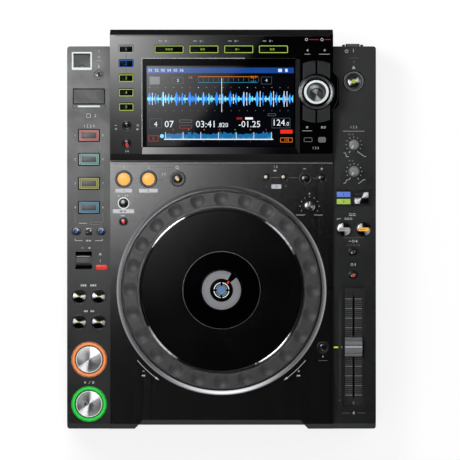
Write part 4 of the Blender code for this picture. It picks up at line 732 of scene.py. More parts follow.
# Square keys
solid("call_delete_cap", lambda bm: flanged_key(bm, 6.9, 7.9), black_key, "call_delete_key", STRIP,
    (-137.39, -2.5), node="call_delete_key")
solid("call_delete_eye", eased_disc(2.8, 1.4, 1.72), dark_eye, "call_delete_key", STRIP, (-137.39, -2.5))
# The jog mode key's metal carries painted glints: bright and dark sectors by angle, with a glow.
solid("jog_mode_cap", lambda bm: flanged_key(bm, 14.3, 11.8),
    spun_with_painted_highlights("mode_metal_painted_glints", (206, 207, 210), (36, 36, 38), 0.25, radians(35), 0.4, 0.3), "jog_mode_key", STRIP,
    (145.14, 32.4), node="jog_mode_key")

for i, (look_of, rgb) in enumerate(((pad_red, (128, 62, 58)), (pad_teal, (66, 92, 92)),
        (pad_yellow, (80, 80, 50)), (pad_blue, (50, 78, 94)))):
    band_look = lamp_look(f"pad_band_{i + 1}", rgb, 0.6)
    low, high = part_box(f"hot_cue_pad_{i + 1}")
    at = (-137.3, (low.y + high.y) / 2 / MM)
    name = f"hot_cue_pad_{i + 1}"
    solid(name + "_body", lambda bm: flanged_key(bm, 22.4, 13.0, 1.45, 0.5), key_face, name, STRIP, at,
        node=name)
    solid(name + "_light", lambda bm: (hoop(bm, rounded(20.4, 11.2, 0.7), rounded(19.3, 10.1, 0.5), 1.2, 1.6),
        hoop(bm, rounded(16.4, 7.4, 0.5), rounded(15.4, 6.4, 0.3), 1.2, 1.6)), look_of, name, STRIP, at)
    solid(name + "_band", lambda bm: hoop(bm, rounded(19.3, 10.1, 0.5), rounded(16.4, 7.4, 0.5), 1.2, 1.56),
        band_look, name, STRIP, at)
    solid(name + "_face", lambda bm: key_box(bm, 15.3, 6.3, 1.2, 1.54, 0.3, 0.15), grey_key, name, STRIP, at)

# Key strips of the console
source_y = (186.1, 171.2, 156.35, 141.5, 126.65)
source_looks = (key_white, key_blue, lit_green, lit_green, lit_green)
menu_x = (-54.0, -18.1, 17.8, 53.6)


def strip_caps(bm, places, width, depth, middle):
    xs, ys = [p[0] for p in places], [p[1] for p in places]
    mx, my = SLOPE.flat(*middle)
    wide, deep = max(xs) - min(xs) + width + 1.8, (max(ys) - min(ys)) / SLOPE.squeeze + depth + 1.8
    slab(bm, rounded(wide, deep, 1.9), -6.4, -4.8)
    for x, y in places:
        fx, fy = SLOPE.flat(x, y)
        key_box(bm, width, depth, -5.0, 1.5, 1.0, 0.4, (fx - mx, fy - my))


sources = [(-98.4, y) for y in source_y]
menus = [(x, 186.0) for x in menu_x]
for name, places, width, depth in (("source_key_strip", sources, 15.0, 8.0),
        ("menu_key_strip", menus, 30.0, 8.1)):
    middle = [sum(axis) / len(places) for axis in zip(*places)]
    solid(name + "_caps", lambda bm: strip_caps(bm, places, width, depth, middle), key_face, name, SLOPE,
        middle, node=name)
    for i, (x, y) in enumerate(places):
        lit = source_looks[i] if name.startswith("source") else lit_green
        solid(f"{name}_light_{i + 1}",
            lambda bm: hoop(bm, rounded(width - 0.2, depth - 0.2, 1.0),
            rounded(width - 1.7, depth - 1.7, 0.5), 1.1, 1.56), lit, name, SLOPE, (x, y))
        marks = Print(SLOPE)
        if name.startswith("menu"):
            marks.icon(("===", "=o", "o.", "==")[i], x - 2.6, y, 2.0)
        else:
            marks.number(str(i + 1), x, y, 3.0)
        marks.done(f"{name}_sign_{i + 1}", lit, name, 1.56)

# Jog wheel
SECTORS, DIMPLES = 720, 24


def rim_height(radius, turn):
    """Height of the grip's face over its middle plane at zero, with the dimples pressed in."""
    z = 0.0
    if radius > 100.4:
        z -= 2.6 * (1 - sqrt(max(0.0, 1 - ((radius - 100.4) / 2.4) ** 2)))
    if radius < 88.0:
        z -= 0.5 * ((88.0 - radius) / 1.0) ** 2
    step = 2 * pi / DIMPLES
    off = (turn - pi / 2 + step / 2) % step - step / 2
    away = hypot(radius * cos(off) - 94.9, radius * sin(off))
    if away < 7.6:
        z -= 2.1 * (1 - (away / 7.6) ** 2)
    return z


def rim_mesh(bm):
    radii = [87.0, 87.4, 88.0] + [88.6 + 0.62 * i for i in range(21)] + [101.4, 101.9, 102.3, 102.6, 102.7]
    turns = [2 * pi * i / SECTORS for i in range(SECTORS)]
    rings = [[(r * cos(t), r * sin(t), rim_height(r, t)) for t in turns] for r in radii]
    tail = [(102.7, -4), (102.7, -16), (100.2, -16), (100.2, -10), (26.3, -10), (26.3, -18.7), (22.3, -18.7),
        (22.3, -8), (78.8, -8), (78.8, -2.5), (83.1, -2.5), (83.1, -1.6), (87.0, -1.6)]
    rings += [[(r * cos(t), r * sin(t), z) for t in turns] for r, z in tail]
    loft(bm, rings, True)


solid("jog_grip", rim_mesh, rim_look, "jog_rim", RIM, JOG, node="jog_rim", angle=40)
# Chrome ring: painted reflections, bright at four diagonals and dark between, with a painted glow.
solid("jog_chrome", lambda bm: lathe(bm,
    [(85.1, -1.5),
    (85.1, 0.3)] + [(84.1 + cos(pi * k / 8), 0.35 + 0.65 * sin(pi * k / 8)) for k in range(9)] + [(83.1,
    -1.5)], 240, True), spun_with_painted_highlights("chrome_painted_reflections", (226, 227, 230), (30, 30, 32), 0.16, radians(42), 0.3, 0.35,
    folds=4), "jog_rim", RIM, JOG)
solid("jog_groove_line", lambda bm: hoop(bm, ring_points(86.9, 240), ring_points(86.5, 240), -1.6, -0.25),
    dark_metal, "jog_rim", RIM, JOG)


def rim_dots(bm):
    for i in range(DIMPLES):
        turn = 2 * pi * (i + 0.5) / DIMPLES
        for radius, spread in ((91.0, 0.012), (94.6, 0.0), (98.2, 0.014)):
            for side in (-1, 1) if spread else (0,):
                a = turn + side * spread
                x, y = radius * cos(a), radius * sin(a)
                loft(bm, [at_height(ring_points(0.45, 8, (x, y)), -0.1),
                    at_height(ring_points(0.3, 8, (x, y)), 0.16),
                    at_height(ring_points(0.05, 8, (x, y)), 0.24)])


solid("jog_grip_dots", rim_dots, rim_look, "jog_rim", RIM, JOG)


def trim_mesh(bm):
    profile = [(103.8, 0.3), (103.8, 2.4), (104.1, 2.7), (104.5, 2.6), (106.3, 1.8), (108.2, 0.95),
        (108.6, 0.6), (108.6, 0.3)]
    rings = []
    for r, z in profile:
        ring = []
        for i in range(720):
            t = 2 * pi * i / 720
            dip = 0.015 if i % 2 and 104.2 <= r <= 108.3 else 0.0
            ring.append((r * cos(t), r * sin(t), z - dip))
        rings.append(ring)
    loft(bm, rings, True)


# Painted sheen: the trim ring's colour is lighter and darker by angle about the jog wheel.
solid("jog_trim", trim_mesh, silver_painted_sheen, "chassis", DECK, JOG, node="jog_trim_ring", angle=50)
solid("jog_plate_disc", lambda bm: lathe(bm,
    [(40.25, -2.4), (82.75, -2.4), (82.75, -0.5), (82.3, -0.05), (81.6, 0), (40.6, 0), (40.25, -0.25)], 240,
    True), platter, "jog_plate", PLATE, JOG, node="jog_plate")
solid("jog_plate_line", lambda bm: hoop(bm, ring_points(40.25, 160), ring_points(39.9, 160), -2.3, -0.06),
    dark_metal, "jog_plate", PLATE, JOG)
solid("jog_plate_centre", lambda bm: lathe(bm, [(21.9, -2.3), (39.9, -2.3), (39.9, -0.2), (21.9, -0.2)], 160,
    True), centre_look, "jog_plate", PLATE, JOG)
solid("jog_display_face", lambda bm: lathe(bm, [(0, 0.02), (21.8, 0.02), (21.8, 0.9), (21.4, 1.0), (0, 1.0)],
    96), centre_look, "chassis", HUB, JOG)

prints("jog_dial_ring", HUB, finish("dial_grey", (140, 141, 145), 0.35, vary=0.06, patch=60, bump=0.08,
    glow=0.5), lift=1.08, arc=[(0, JOG_Y, 16.1, 50 + 9.8, 50 + 350.2, 8.2, 90)])
dial = Print(HUB)
for quarter in range(4):
    dial.arc(0, JOG_Y, 7.7, 90 * quarter + 7, 90 * quarter + 83, 0.75, 12)
    for k in range(4):
        dial.arc(0, JOG_Y, 5.6, 90 * quarter + 12 + 18 * k, 90 * quarter + 21 + 18 * k, 0.55, 2)
dial.done("jog_dial_marks", lit_white, lift=1.1)
prints("jog_dial_middle", HUB, lamp_look("dial_blue", (84, 118, 156), 0.8), lift=1.08,
    disc=[(0, JOG_Y, 4.6, 40)])
prints("jog_dial_pointer", HUB, lit_red, lift=1.12,
    line=[([(8.9 * cos(radians(50)), JOG_Y + 8.9 * sin(radians(50))),
    (12.0 * cos(radians(50)), JOG_Y + 12.0 * sin(radians(50)))], 2.0)])
dial = Print(HUB)
for k in range(-2, 3):
    dial.arc(0, JOG_Y, 3.2 - abs(k) * 0.5, 30 + 25 * k, 48 + 25 * k, 0.3, 3)
dial.done("jog_dial_scribble", finish("dial_dark", (44, 60, 84), 0.35, glow=0.3), lift=1.14)

# Rotary knobs


def fluted(bm, levels, flutes=24, depth=0.18):
    steps = flutes * 4
    rings = []
    for r, z, cut in levels:
        ring = []
        for i in range(steps):
            t = 2 * pi * i / steps
            rr = r - cut * depth * (0.5 + 0.5 * cos(flutes * t))
            ring.append((rr * cos(t), rr * sin(t), z))
        rings.append(ring)
    loft(bm, rings)


knob_levels = [(3.0, -8.8, 0), (3.0, -0.1, 0), (3.1, 0.6, 0), (5.7, 0.6, 0), (5.7, 1.3, 0), (5.35, 1.75, 1),
    (4.8, 10.8, 1), (4.7, 12.0, 0.6), (4.35, 12.5, 0), (3.9, 12.6, 0), (0.02, 12.45, 0)]
knob_grey = finish("knob_grey", (112, 113, 115), 0.38, vary=0.12, patch=200, grain=2400, bump=0.2)
# The jog adjust knob's metal carries painted glints: bright and dark sectors by angle, with a glow.
knob_metal_painted_glints = spun_with_painted_highlights("knob_metal_painted_glints", (196, 196, 198), (60, 60, 62), 0.26, radians(-20), 0.4, 0.1, rays=2.0)
for name, x, y, plane, look_of, turn in (("touch_brake_knob", 137.08, 87.52, STRIP, knob_grey, 238),
        ("release_start_knob", 137.3, 59.9, STRIP, knob_grey, 238),
        ("jog_adjust_knob", 91.13, 23.88, DECK, knob_metal_painted_glints, 90)):
    solid(name + "_grip", lambda bm: fluted(bm, knob_levels), look_of, name, plane, (x, y), node=name)
    a = radians(turn)
    prints(name + "_pointer", plane, ink_painted_glow, name, 12.62,
        line=[([(x + 0.8 * cos(a), y + 0.8 * sin(a)), (x + 4.6 * cos(a), y + 4.6 * sin(a))], 1.15)])

# Selector with its lit ring
solid("selector_skirt", lambda bm: lathe(bm,
    [(3.4, 1.3), (9.6, 1.3), (9.6, 2.0), (9.2, 2.7), (7.9, 3.5), (3.4, 3.5)], 72, True), dark_metal,
    "selector_knob", SLOPE, SELECTOR)
# The selector grip's metal carries painted glints: bright and dark sectors by angle, with a glow.
solid("selector_grip", lambda bm: fluted(bm, [(3.4, 3.4, 0), (7.8, 3.4, 0), (7.8, 3.8, 1), (7.8, 12.2, 1),
    (7.5, 13.2, 0.5), (7.0, 13.75, 0), (6.4, 13.8, 0), (5.9, 13.3, 0), (0.02, 13.0, 0)], 36, 0.35),
    spun_with_painted_highlights("selector_metal_painted_glints", (206, 206, 208), (70, 70, 72), 0.3, radians(105), 0.4, 0.16, rays=2.0),
    "selector_knob", SLOPE, SELECTOR, node="selector_knob")
# Painted shade: dark discs in an arc on the knob's top stand for its dimples.
marks = Print(SLOPE)
mx, my = SELECTOR
for k in range(9):
    a = radians(30 + 15 * k)
    marks.disc(mx + 6.7 * cos(a), my + 6.7 * sin(a), 0.75, 12)
marks.done("selector_dimple_painted_shade", dark_ink, "selector_knob", 13.84)
ring_piece("selector_light", *SELECTOR, SLOPE, 10.2, 12.7, lit_white, -0.2, 2.2, 0.7)
# The selector bezel's metal carries painted glints: bright and dark sectors by angle, with a glow.
solid("selector_bezel", lambda bm: lathe(bm, [(18.5, -0.3), (18.5, 1.4), (18.1, 2.4), (17.2, 3.05),
    (15.4, 3.1), (13.6, 2.7), (12.9, 2.0), (12.9, -0.3)], 120, True),
    spun_with_painted_highlights("bezel_metal_painted_glints", (196, 197, 199), (84, 85, 87), 0.26, radians(172), 0.5, 0.24, rays=2.0), "chassis",
    SLOPE, SELECTOR)
ring_piece("selector_edge", *SELECTOR, SLOPE, 17.2, 17.6, dark_metal, 2.6, 3.2, 0.15, 120)

# Tempo fader knob, built from its side profile
fader = [(-10.35, -2.2), (10.35, -2.2), (10.35, -1.4), (9.4, 1.6), (8.9, 1.9), (8.6, 3.4), (7.4, 4.0),
    (6.9, 6.2), (6.3, 7.9), (5.2, 8.25), (4.2, 7.6), (2.2, 7.05), (0.7, 6.9), (0.5, 7.5), (-0.5, 7.5),
    (-0.7, 6.9), (-2.2, 7.05), (-4.2, 7.6), (-5.2, 8.25), (-6.3, 7.9), (-6.9, 6.2), (-7.4, 4.0), (-8.6, 3.4),
    (-8.9, 1.9), (-9.4, 1.6), (-10.35, -1.4)]


def fader_mesh(bm):
    ends = ((-9.0, 0.94), (-8.6, 1.0), (8.6, 1.0), (9.0, 0.94))
    loft(bm, [[(x, y * k, -2.2 + (z + 2.2) * k) for y, z in fader] for x, k in ends])
    loft(bm, [at_height([(-0.65, -2.5), (0.65, -2.5), (0.65, 2.5), (-0.65, 2.5)], z) for z in (-10.8, -2.0)])


solid("tempo_fader_cap", fader_mesh, finish("fader_cap", (98, 99, 101), 0.36, vary=0.12, patch=120,
    grain=2400, bump=0.2), "tempo_fader_knob", STRIP, FADER, node="tempo_fader_knob", angle=25)
solid("tempo_fader_line", lambda bm: slab(bm, rounded(17.6, 1.1, 0.2), 7.0, 7.62), ink_painted_glow, "tempo_fader_knob",
    STRIP, FADER)

# Direction lever's paddle, with a ridge along its rear edge and a grey face
solid("lever_paddle", lambda bm: loft(bm, [[(x, y, z) for y,
    z in ((-3.9, 0.0), (4.9, 0.0), (4.95, 5.9), (4.7, 6.25), (3.8, 6.25), (3.5, 5.7), (-2.6, 5.3),
    (-3.4, 4.6))] for x in (-6.9, 6.9)]), black_key, "direction_lever", STRIP, (-142.9, -32.6))
solid("lever_ridge", lambda bm: key_box(bm, 13.6, 1.2, 6.1, 6.45, 0.3, 0.15), knob_grey, "direction_lever",
    STRIP, (-142.9, -28.3))
solid("lever_face", lambda bm: key_box(bm, 12.4, 5.2, 5.4, 5.9, 0.6, 0.2), knob_grey, "direction_lever",
    STRIP, (-143.2, -32.2))

# Lit frames, bars and plates of the strips
solid("usb_frame", lambda bm: loft(bm,
    [at_height(rounded(20.8, 18.6, 1.0, (0, -0.1)), -0.1),
    at_height(rounded(20.8, 18.6, 1.0, (0, -0.1)), 0.7), at_height(rounded(17.6, 14.6, 0.3, (0, 0.4)), 0.72),
    at_height(rounded(17.6, 14.6, 0.3, (0, 0.4)), -0.1)], True), lit_mint, "chassis", STRIP,
    (-144.69, 174.44))
solid("sd_lamp", lambda bm: key_box(bm, 23.0, 1.9, -0.05, 0.25, 0.4, 0.15), lit_mint, "chassis", STRIP,
    (-137.4, 127.3))
solid("mode_panel", lambda bm: slab(bm, rounded(38.1, 17.8, 1.0), -0.82, -0.7), bezel, "chassis", STRIP,
    (137.17, 32.3))
solid("mode_label_blue", lambda bm: key_box(bm, 14.2, 5.4, -0.75, -0.35, 0.5, 0.2), lit_blue, "chassis",
    STRIP, (126.5, 36.1))
solid("mode_label_green", lambda bm: key_box(bm, 14.2, 5.4, -0.75, -0.35, 0.5, 0.2), lit_green, "chassis",
    STRIP, (126.5, 28.7))
solid("tempo_lamp", lambda bm: key_box(bm, 4.6, 1.5, -0.05, 0.22, 0.3, 0.12), lit_lime, "chassis", STRIP,
    (118.6, -122.3))
solid("standby_lamp", lambda bm: lathe(bm, [(0, -0.05), (1.0, -0.05), (0.9, 0.2), (0, 0.35)], 20),
    finish("dim_lamp", (92, 34, 32), 0.3, glow=0.2), "chassis", STRIP, (137.3, 173.5))

prints("lamp_outline", STRIP, dark_ink, outline=[(-137.35, 127.2, 35.0, 3.2, 0.3, 0.5)])
prints("sd_cover_lines", STRIP, dark_ink, "sd_cover", outline=[(-137.39, 137.6, 33.2, 16.2, 0.8, 0.8)])
prints("usb_cover_lines", STRIP, dark_ink, "usb_cover", arc=[(-144.69, 167.7, 2.6, 0, 180, 0.7, 12)],
    box=[(-152.2, 180.2, 0.9, 2.2), (-137.1, 180.2, 0.9, 2.2), (-144.69, 181.1, 15.0, 0.5)])

# Light stripe between the deck and the console, in two tones
for name, y, depth, material in (("stripe_light", 68.5, 1.0, stripe_look), ("stripe_dark", 69.9, 1.4, matte)):
    solid(name, lambda bm: slab(bm, rounded(230.0, depth, 0.3), 0.95, 1.18, 0.08,
        rounded(229.8, depth - 0.2, 0.2)), material, "chassis", DECK, (0, y))
# Painted highlights: thin light lines along the top and left edges of the display's recess and along the
# console's rear crest, the first with a glow.
prints("display_edge_painted_highlight", SLOPE, finish("edge_painted_highlight", (150, 151, 152), 0.4, vary=0.1, glow=0.2), lift=0.06,
    line=[([(-82.2, 84.9), (-82.2, 176.4), (24.0, 176.4)], 0.7)])
prints("edge_painted_highlight_rest", SLOPE, well, lift=0.06,
    line=[([(24.0, 176.4), (76.6, 176.4)], 0.4), ([(-110.0, 199.4), (112.0, 199.4)], 0.5)])

# Display, with a plain made-up screen
screen = {}


def ui(key):
    return screen.setdefault(key, Print(GLASS))


ui("back").box(-1.3, 127.3, 151.8, 82.6)
ui("bar").box(-1.3, 164.0, 151.8, 5.6)
ui("row").add(number=[("01  02  03  04  05  06", -75.4, 164.0, 3.0, "LEFT")],
    box=[(60.5, 164.0, 4.0, 3.2), (67.0, 164.0, 2.6, 3.2)])
ui("grey").box(-69.0, 153.6, 10.5, 8.0)
ui("slate").outline(-45.0, 153.6, 11.0, 6.6, 0.35, 0.6)
ui("slate").outline(46.5, 153.6, 11.0, 7.6, 0.35, 0.6)
ui("amber").box(7.0, 157.5, 62.0, 0.5)
ui("cyan_dim").box(7.0, 151.6, 62.0, 0.45)
for k in range(13):
    ui("grey").box(-24 + 5.2 * k, 154.5, 0.3, 3.6)
ui("amber").number("-12", -32.5, 156.8, 2.6)
ui("amber").number("36.5", 33.0, 157.0, 2.6)
ui("cyan_dim").number("04.0", 33.0, 152.4, 2.4)
ui("white").number("2", -45.0, 153.6, 3.0)
ui("white").number("4", 46.5, 153.6, 3.0)
bars = 250
for i in range(bars):
    x = -76.6 + 150.6 * (i + 0.5) / bars
    beat = (x + 76.6) % 13.9 / 13.9
    swell = 1.1 + 6.8 * exp(-((beat - 0.16) / 0.085) ** 2) + 5.2 * exp(-((beat - 0.60) / 0.06) ** 2)
    swell += 7.4 * exp(-((beat - 0.38) / 0.02) ** 2) + 3.0 * exp(-((beat - 0.80) / 0.035) ** 2)
    tall = min(8.0, swell * (0.78 + 0.3 * random.random()))
    if 0.33 < beat < 0.42 and tall > 4:
        key = "white"
    else:
        key = "cyan" if random.random() < 0.22 or beat > 0.7 else "blue"
    if tall > 6.6 and random.random() < 0.10:
        key = "white"
    ui(key).box(x, 134.7, 0.62, 2 * tall)
    if i % 14 == 3:
        ui(random.choice(("red", "green", "white", "amber"))).box(x, 146.4, 0.7, 0.7)
        ui("grey").box(x, 122.6, 0.5, 0.9)
ui("cyan").disc(-75.0, 134.7, 1.9, 16)
ui("white").add(box=[(0.2, 138.6, 0.55, 35.0), (28.5, 114.6, 8.0, 2.2)],
    number=[("4", -68.0, 108.4, 5.2), ("07", -54.2, 108.4, 7.0), ("03:41", -16.0, 108.4, 7.0),
    (".820", 1.5, 107.6, 4.6), ("-01.25", 29.0, 108.4, 6.6), ("124", 59.0, 110.0, 6.6),
    (".0", 68.0, 108.8, 4.0)])
ui("slate").outline(-68.0, 109.6, 12.6, 9.8, 0.35, 0.5)
ui("slate").outline(61.5, 109.8, 19.0, 10.4, 0.4, 0.5)
ui("dark_red").outline(-37.0, 106.0, 13.0, 3.6, 0.5, 1.0)
ui("dark_red").box(18.5, 114.6, 6.0, 2.2)
ui("grey").outline(-37.0, 111.8, 13.0, 3.0, 0.4, 1.0)
ui("grey").outline(52.0, 118.4, 8.6, 2.4, 0.3, 0.9)
for k in range(60):
    x = -58.0 + 1.84 * k
    tall = 4.4 + 3.0 * random.random() * (0.4 + 0.6 * sin(k / 7.0) ** 2)
    ui("blue_deep").box(x, 93.6 + tall / 2, 1.8, tall)
    if random.random() < 0.3:
        ui("cyan_dim").box(x, 93.6 + tall * 0.2, 1.8, tall * 0.4)
ui("cyan").disc(-61.6, 96.4, 2.1, 16)
ui("white").box(-3.0, 93.1, 113.0, 1.0)
for k in range(7):
    ui("white").box(-58 + 18.3 * k, 97.0, 0.5, 7.0)
    ui(("red", "green", "amber")[k % 3]).box(-50 + 16 * k, 103.0, 0.9, 0.9)
    ui("grey").box(-50 + 16 * k, 91.2, 0.4, 0.9)
ui("dark_red").outline(-70.4, 94.0, 10.4, 6.2, 0.6, 0.5)
ui("dark_red").number("8", -70.4, 93.8, 3.4)
ui("red").box(67.2, 101.0, 12.6, 4.0)
ui("amber").outline(67.2, 92.4, 12.6, 4.8, 0.5, 0.4)
ui("amber").number("1/4", 67.2, 92.3, 3.0)
for key, rgb, glow, lift in (("back", (6, 9, 16), 0.5, 0.05), ("bar", (24, 66, 138), 0.9, 0.09),
        ("row", (206, 220, 240), 0.9, 0.13), ("grey", (118, 122, 128), 0.6, 0.10),
        ("slate", (84, 96, 104), 0.6, 0.10), ("amber", (226, 118, 30), 0.9, 0.11),
        ("cyan_dim", (40, 140, 176), 0.8, 0.13), ("blue", (28, 132, 232), 0.95, 0.12),
        ("blue_deep", (26, 104, 160), 0.9, 0.10), ("cyan", (118, 214, 246), 0.95, 0.13),
        ("white", (226, 234, 240), 0.95, 0.16), ("red", (228, 44, 26), 0.95, 0.13),
        ("dark_red", (150, 28, 26), 0.9, 0.11), ("green", (60, 210, 60), 0.9, 0.13)):
    look_of = finish("screen_" + key, rgb, 0.05, vary=0.1, patch=60, grain=900, bump=0.01, glow=glow)
    screen[key].done("screen_" + key, look_of, lift=lift)

# Marks printed on the left strip
white, grey = Print(STRIP), Print(STRIP)
for k in range(4):
    y = 97.2 - 24.88 * k
    white.number(str(k + 1), -151.6, y, 2.2)
    white.number(str(k + 5), -122.9, y, 2.2)
    for x in (-151.6, -122.9):
        grey.line([(x, y - 5.5), (x, y - (19.0 if k < 3 else 16.0))], 0.45)
white.add(number=[("1 2 3 4", -137.3, 106.8, 3.0), ("1", -125.6, -33.0, 3.0), ("2", -130.8, 117.6, 2.8)],
    line=[([(-147.6, 6.2), (-139.4, 6.2)], 0.5), ([(-151.6, -9.8), (-151.6, -11.8), (-144.2, -11.8)], 0.45),
    ([(-123.4, -9.8), (-123.4, -11.8), (-130.8, -11.8)], 0.45), ([(-137.6, -160.2), (-136.0, -157.4)], 0.4),
    ([(-127.0, 186.0), (-127.0, 183.0)], 0.5), ([(-129.6, 174.6), (-124.4, 174.6)], 0.4)],
    icon=[("<.>", -139.6, -11.8, 2.2), ("-", -144.0, -19.4, 2.2), (">", -136.6, -19.4, 2.4),
    ("^", -125.6, -25.6, 2.6), ("|<<", -145.0, -58.2, 2.8), (">>|", -134.6, -58.2, 2.8),
    ("<<", -141.8, -84.9, 2.4), (">>", -134.6, -84.9, 2.4), (">", -141.0, -158.8, 2.6),
    ("||", -133.0, -158.8, 2.6), ("o", -127.0, 178.4, 2.4), ("|", -126.6, 168.6, 3.0)],
    outline=[(-137.8, 117.6, 4.2, 4.4, 0.4, 0.6)])
grey.outline(-130.4, 6.2, 12.6, 3.2, 0.6, 0.8)
grey.icon("o-.", -147.6, 158.4, 2.6)
white.done("left_strip_prints", ink_painted_glow)
grey.done("left_strip_lines", faint_painted_glow)
prints("mode_marks", STRIP, dark_ink, lift=-0.3, number=[("1", 126.5, 36.1, 3.0), ("2", 126.5, 28.7, 3.0)])
prints("label_mark", STRIP, finish("ink_dark_red", (92, 10, 8), 0.5), lift=0.24,
    number=[("0", -124.4, -39.5, 3.2)])
solid("reverse_label", lambda bm: key_box(bm, 11.5, 5.0, -0.05, 0.2, 0.9, 0.12), lit_red, "chassis", STRIP,
    (-124.4, -39.5))

# Marks printed on the right strip
white, grey = Print(STRIP), Print(STRIP)
for x, y in ((137.08, 87.52), (137.3, 59.9)):
    for k in range(11):
        a = radians(240 - 30 * k)
        long = 2.2 if k in (0, 10) else 1.1
        white.line([(x + 7.4 * cos(a), y + 7.4 * sin(a)),
            (x + (7.4 + long) * cos(a), y + (7.4 + long) * sin(a))], 0.6)
white.add(line=[([(126.5, 79.0), (128.6, 79.0), (129.4, 75.2), (131.8, 75.2)], 0.5),
    ([(142.0, 79.4), (143.6, 78.6), (147.6, 75.6), (149.8, 75.2)], 0.5),
    ([(126.5, 47.6), (128.6, 48.0), (129.4, 51.0), (132.0, 51.4)], 0.5),
    ([(141.6, 47.6), (143.2, 48.0), (146.4, 50.8), (149.0, 51.4)], 0.5),
    ([(136.6, 187.0), (136.6, 183.4)], 0.55), ([(126.0, 101.6), (148.0, 101.6)], 0.35),
    ([(119.8, 9.6), (119.8, 10.8), (123.6, 10.8)], 0.5)],
    icon=[("^", 136.9, 167.6, 3.2), ("p", 129.6, 184.6, 3.6), ("@@", 133.6, 15.2, 2.8),
    ("o=o", 128.6, 10.8, 2.2), ("-o+", 133.2, -12.4, 2.6), ("o", 135.2, -36.6, 2.6),
    ("|", 139.0, -36.6, 2.8)], number=[("1 2 3", 136.9, 105.6, 2.6)])
grey.add(line=[([(132.6, 177.4), (142.0, 177.4)], 0.35), ([(126.6, -8.9), (147.4, -8.9)], 0.35)],
    icon=[("<->", 132.0, 98.2, 2.0), ("<->", 132.0, 71.0, 2.0)], number=[("6 10 16 100", 136.8, -16.4, 2.0)])
for k in range(51):
    grey.box(122.7, -72.2 - 1.994 * k, 0.7, 0.6)
grey.add(number=[("-", 122.4, -68.0, 2.4)], icon=[("+", 122.4, -177.2, 2.0)],
    line=[([(125.0, -190.4), (133.0, -190.4)], 0.4), ([(140.8, -190.4), (148.8, -190.4)], 0.4)])
white.number("0", 124.6, -122.3, 2.0)
white.number("4", 136.9, -190.4, 3.4)
white.done("right_strip_prints", ink_painted_glow)
grey.done("right_strip_lines", faint_painted_glow)
scale = Plane((0, 0, 71.2))
bright, dull = Print(scale), Print(scale)
for k in range(51):
    for side in (-1, 1):
        (dull if k % 5 else bright).box(136.85 + side * 5.0, -72.2 - 1.994 * k, 7.6, 0.5 if k % 5 else 0.7)
bright.number("0", 136.85, -180.0, 2.8)
# The main scale marks are printed, with a faint painted glow.
bright.done("fader_scale_main", finish("scale_painted_glow", (120, 121, 122), 0.45, vary=0.08, glow=0.1))
dull.done("fader_scale_fine", finish("scale_grey", (70, 71, 72), 0.45, vary=0.1))

# Marks printed on the deck
white, grey = Print(DECK), Print(DECK)
prints("deck_pills", DECK, pill_ink_painted_glow, pill=[(-101.3, 40.0, 17.2, 4.0), (-75.7, 40.0, 19.6, 4.0),
    (-101.4, 18.7, 22.0, 4.2), (56.8, 44.2, 10.2, 4.4)])
prints("pill_marks", DECK, dark_ink, lift=0.12,
    number=[("1", -101.3, 40.0, 2.6), ("2", -75.7, 40.0, 2.6), ("3", 56.8, 44.2, 2.8)],
    icon=[("<->", -104.4, 18.7, 2.2)])
white.add(number=[("1", -101.2, 64.0, 2.8), ("2", -75.7, 64.0, 2.8), ("3 4", -60.0, 57.0, 2.4),
    ("4 8", -98.6, 34.6, 2.3), ("1 2", 56.0, 64.6, 2.4)],
    icon=[("@", -46.0, 64.0, 3.0), ("+-", -106.6, 34.6, 2.0), ("<<.", -103.4, 14.0, 1.9),
    ("<>", 54.4, 60.6, 2.2), ("-", 86.0, 62.6, 2.6), ("+", 103.8, 62.6, 2.6)])
grey.add(line=[([(-66.6, 63.9), (-50.4, 63.9)], 0.4), ([(-65.0, 51.8), (-54.6, 51.8)], 0.4),
    ([(-91.0, 52.0), (-86.0, 52.0)], 0.4), ([(51.6, 53.4), (59.6, 53.4)], 0.4),
    ([(69.4, 53.4), (78.6, 53.4)], 0.4), ([(94.6, 52.9), (98.6, 52.9)], 0.4)],
    number=[("2", 46.2, 44.3, 2.2), ("4", 66.6, 44.3, 2.2)])
for k in range(11):
    a = radians(240 - 30 * k)
    if k in (0, 10):
        x, y = 91.13 + 9.6 * cos(a), 23.88 + 9.6 * sin(a)
        white.line([(x, y), (x + cos(a), y + sin(a)), (x + (9 if k else -9), y + sin(a))], 0.4)
    else:
        white.disc(91.13 + 9.7 * cos(a), 23.88 + 9.7 * sin(a), 0.42, 8)
white.number("0", 91.1, 36.6, 2.4)
for side in (-1, 1):
    turn = [219.8, 234.6] if side < 0 else [-39.8, -54.6]
    white.arc(0, JOG_Y, 113.4, turn[0], turn[1], 0.45)
    a = radians(turn[1])
    x, y = 113.4 * cos(a), JOG_Y + 113.4 * sin(a)
    dx, dy = (-sin(a), cos(a)) if side < 0 else (sin(a), -cos(a))
    white.face([(x + 1.6 * dx, y + 1.6 * dy), (x - 3.2 * dx + 1.1 * dy, y - 3.2 * dy - 1.1 * dx),
        (x - 3.2 * dx - 1.1 * dy, y - 3.2 * dy + 1.1 * dx)])
white.add(box=[(-80.8, -147.0, 2.2, 0.45)], icon=[("+", 80.0, -147.0, 2.0), ("<<", -82.0, -151.6, 2.2),
    (">>", 79.0, -151.6, 2.2)], number=[("0", 105.1, -132.0, 2.2)])
grey.line([(100.6, -136.0), (109.6, -136.0)], 0.4)
white.done("deck_prints", ink_painted_glow)
grey.done("deck_lines", faint_painted_glow)

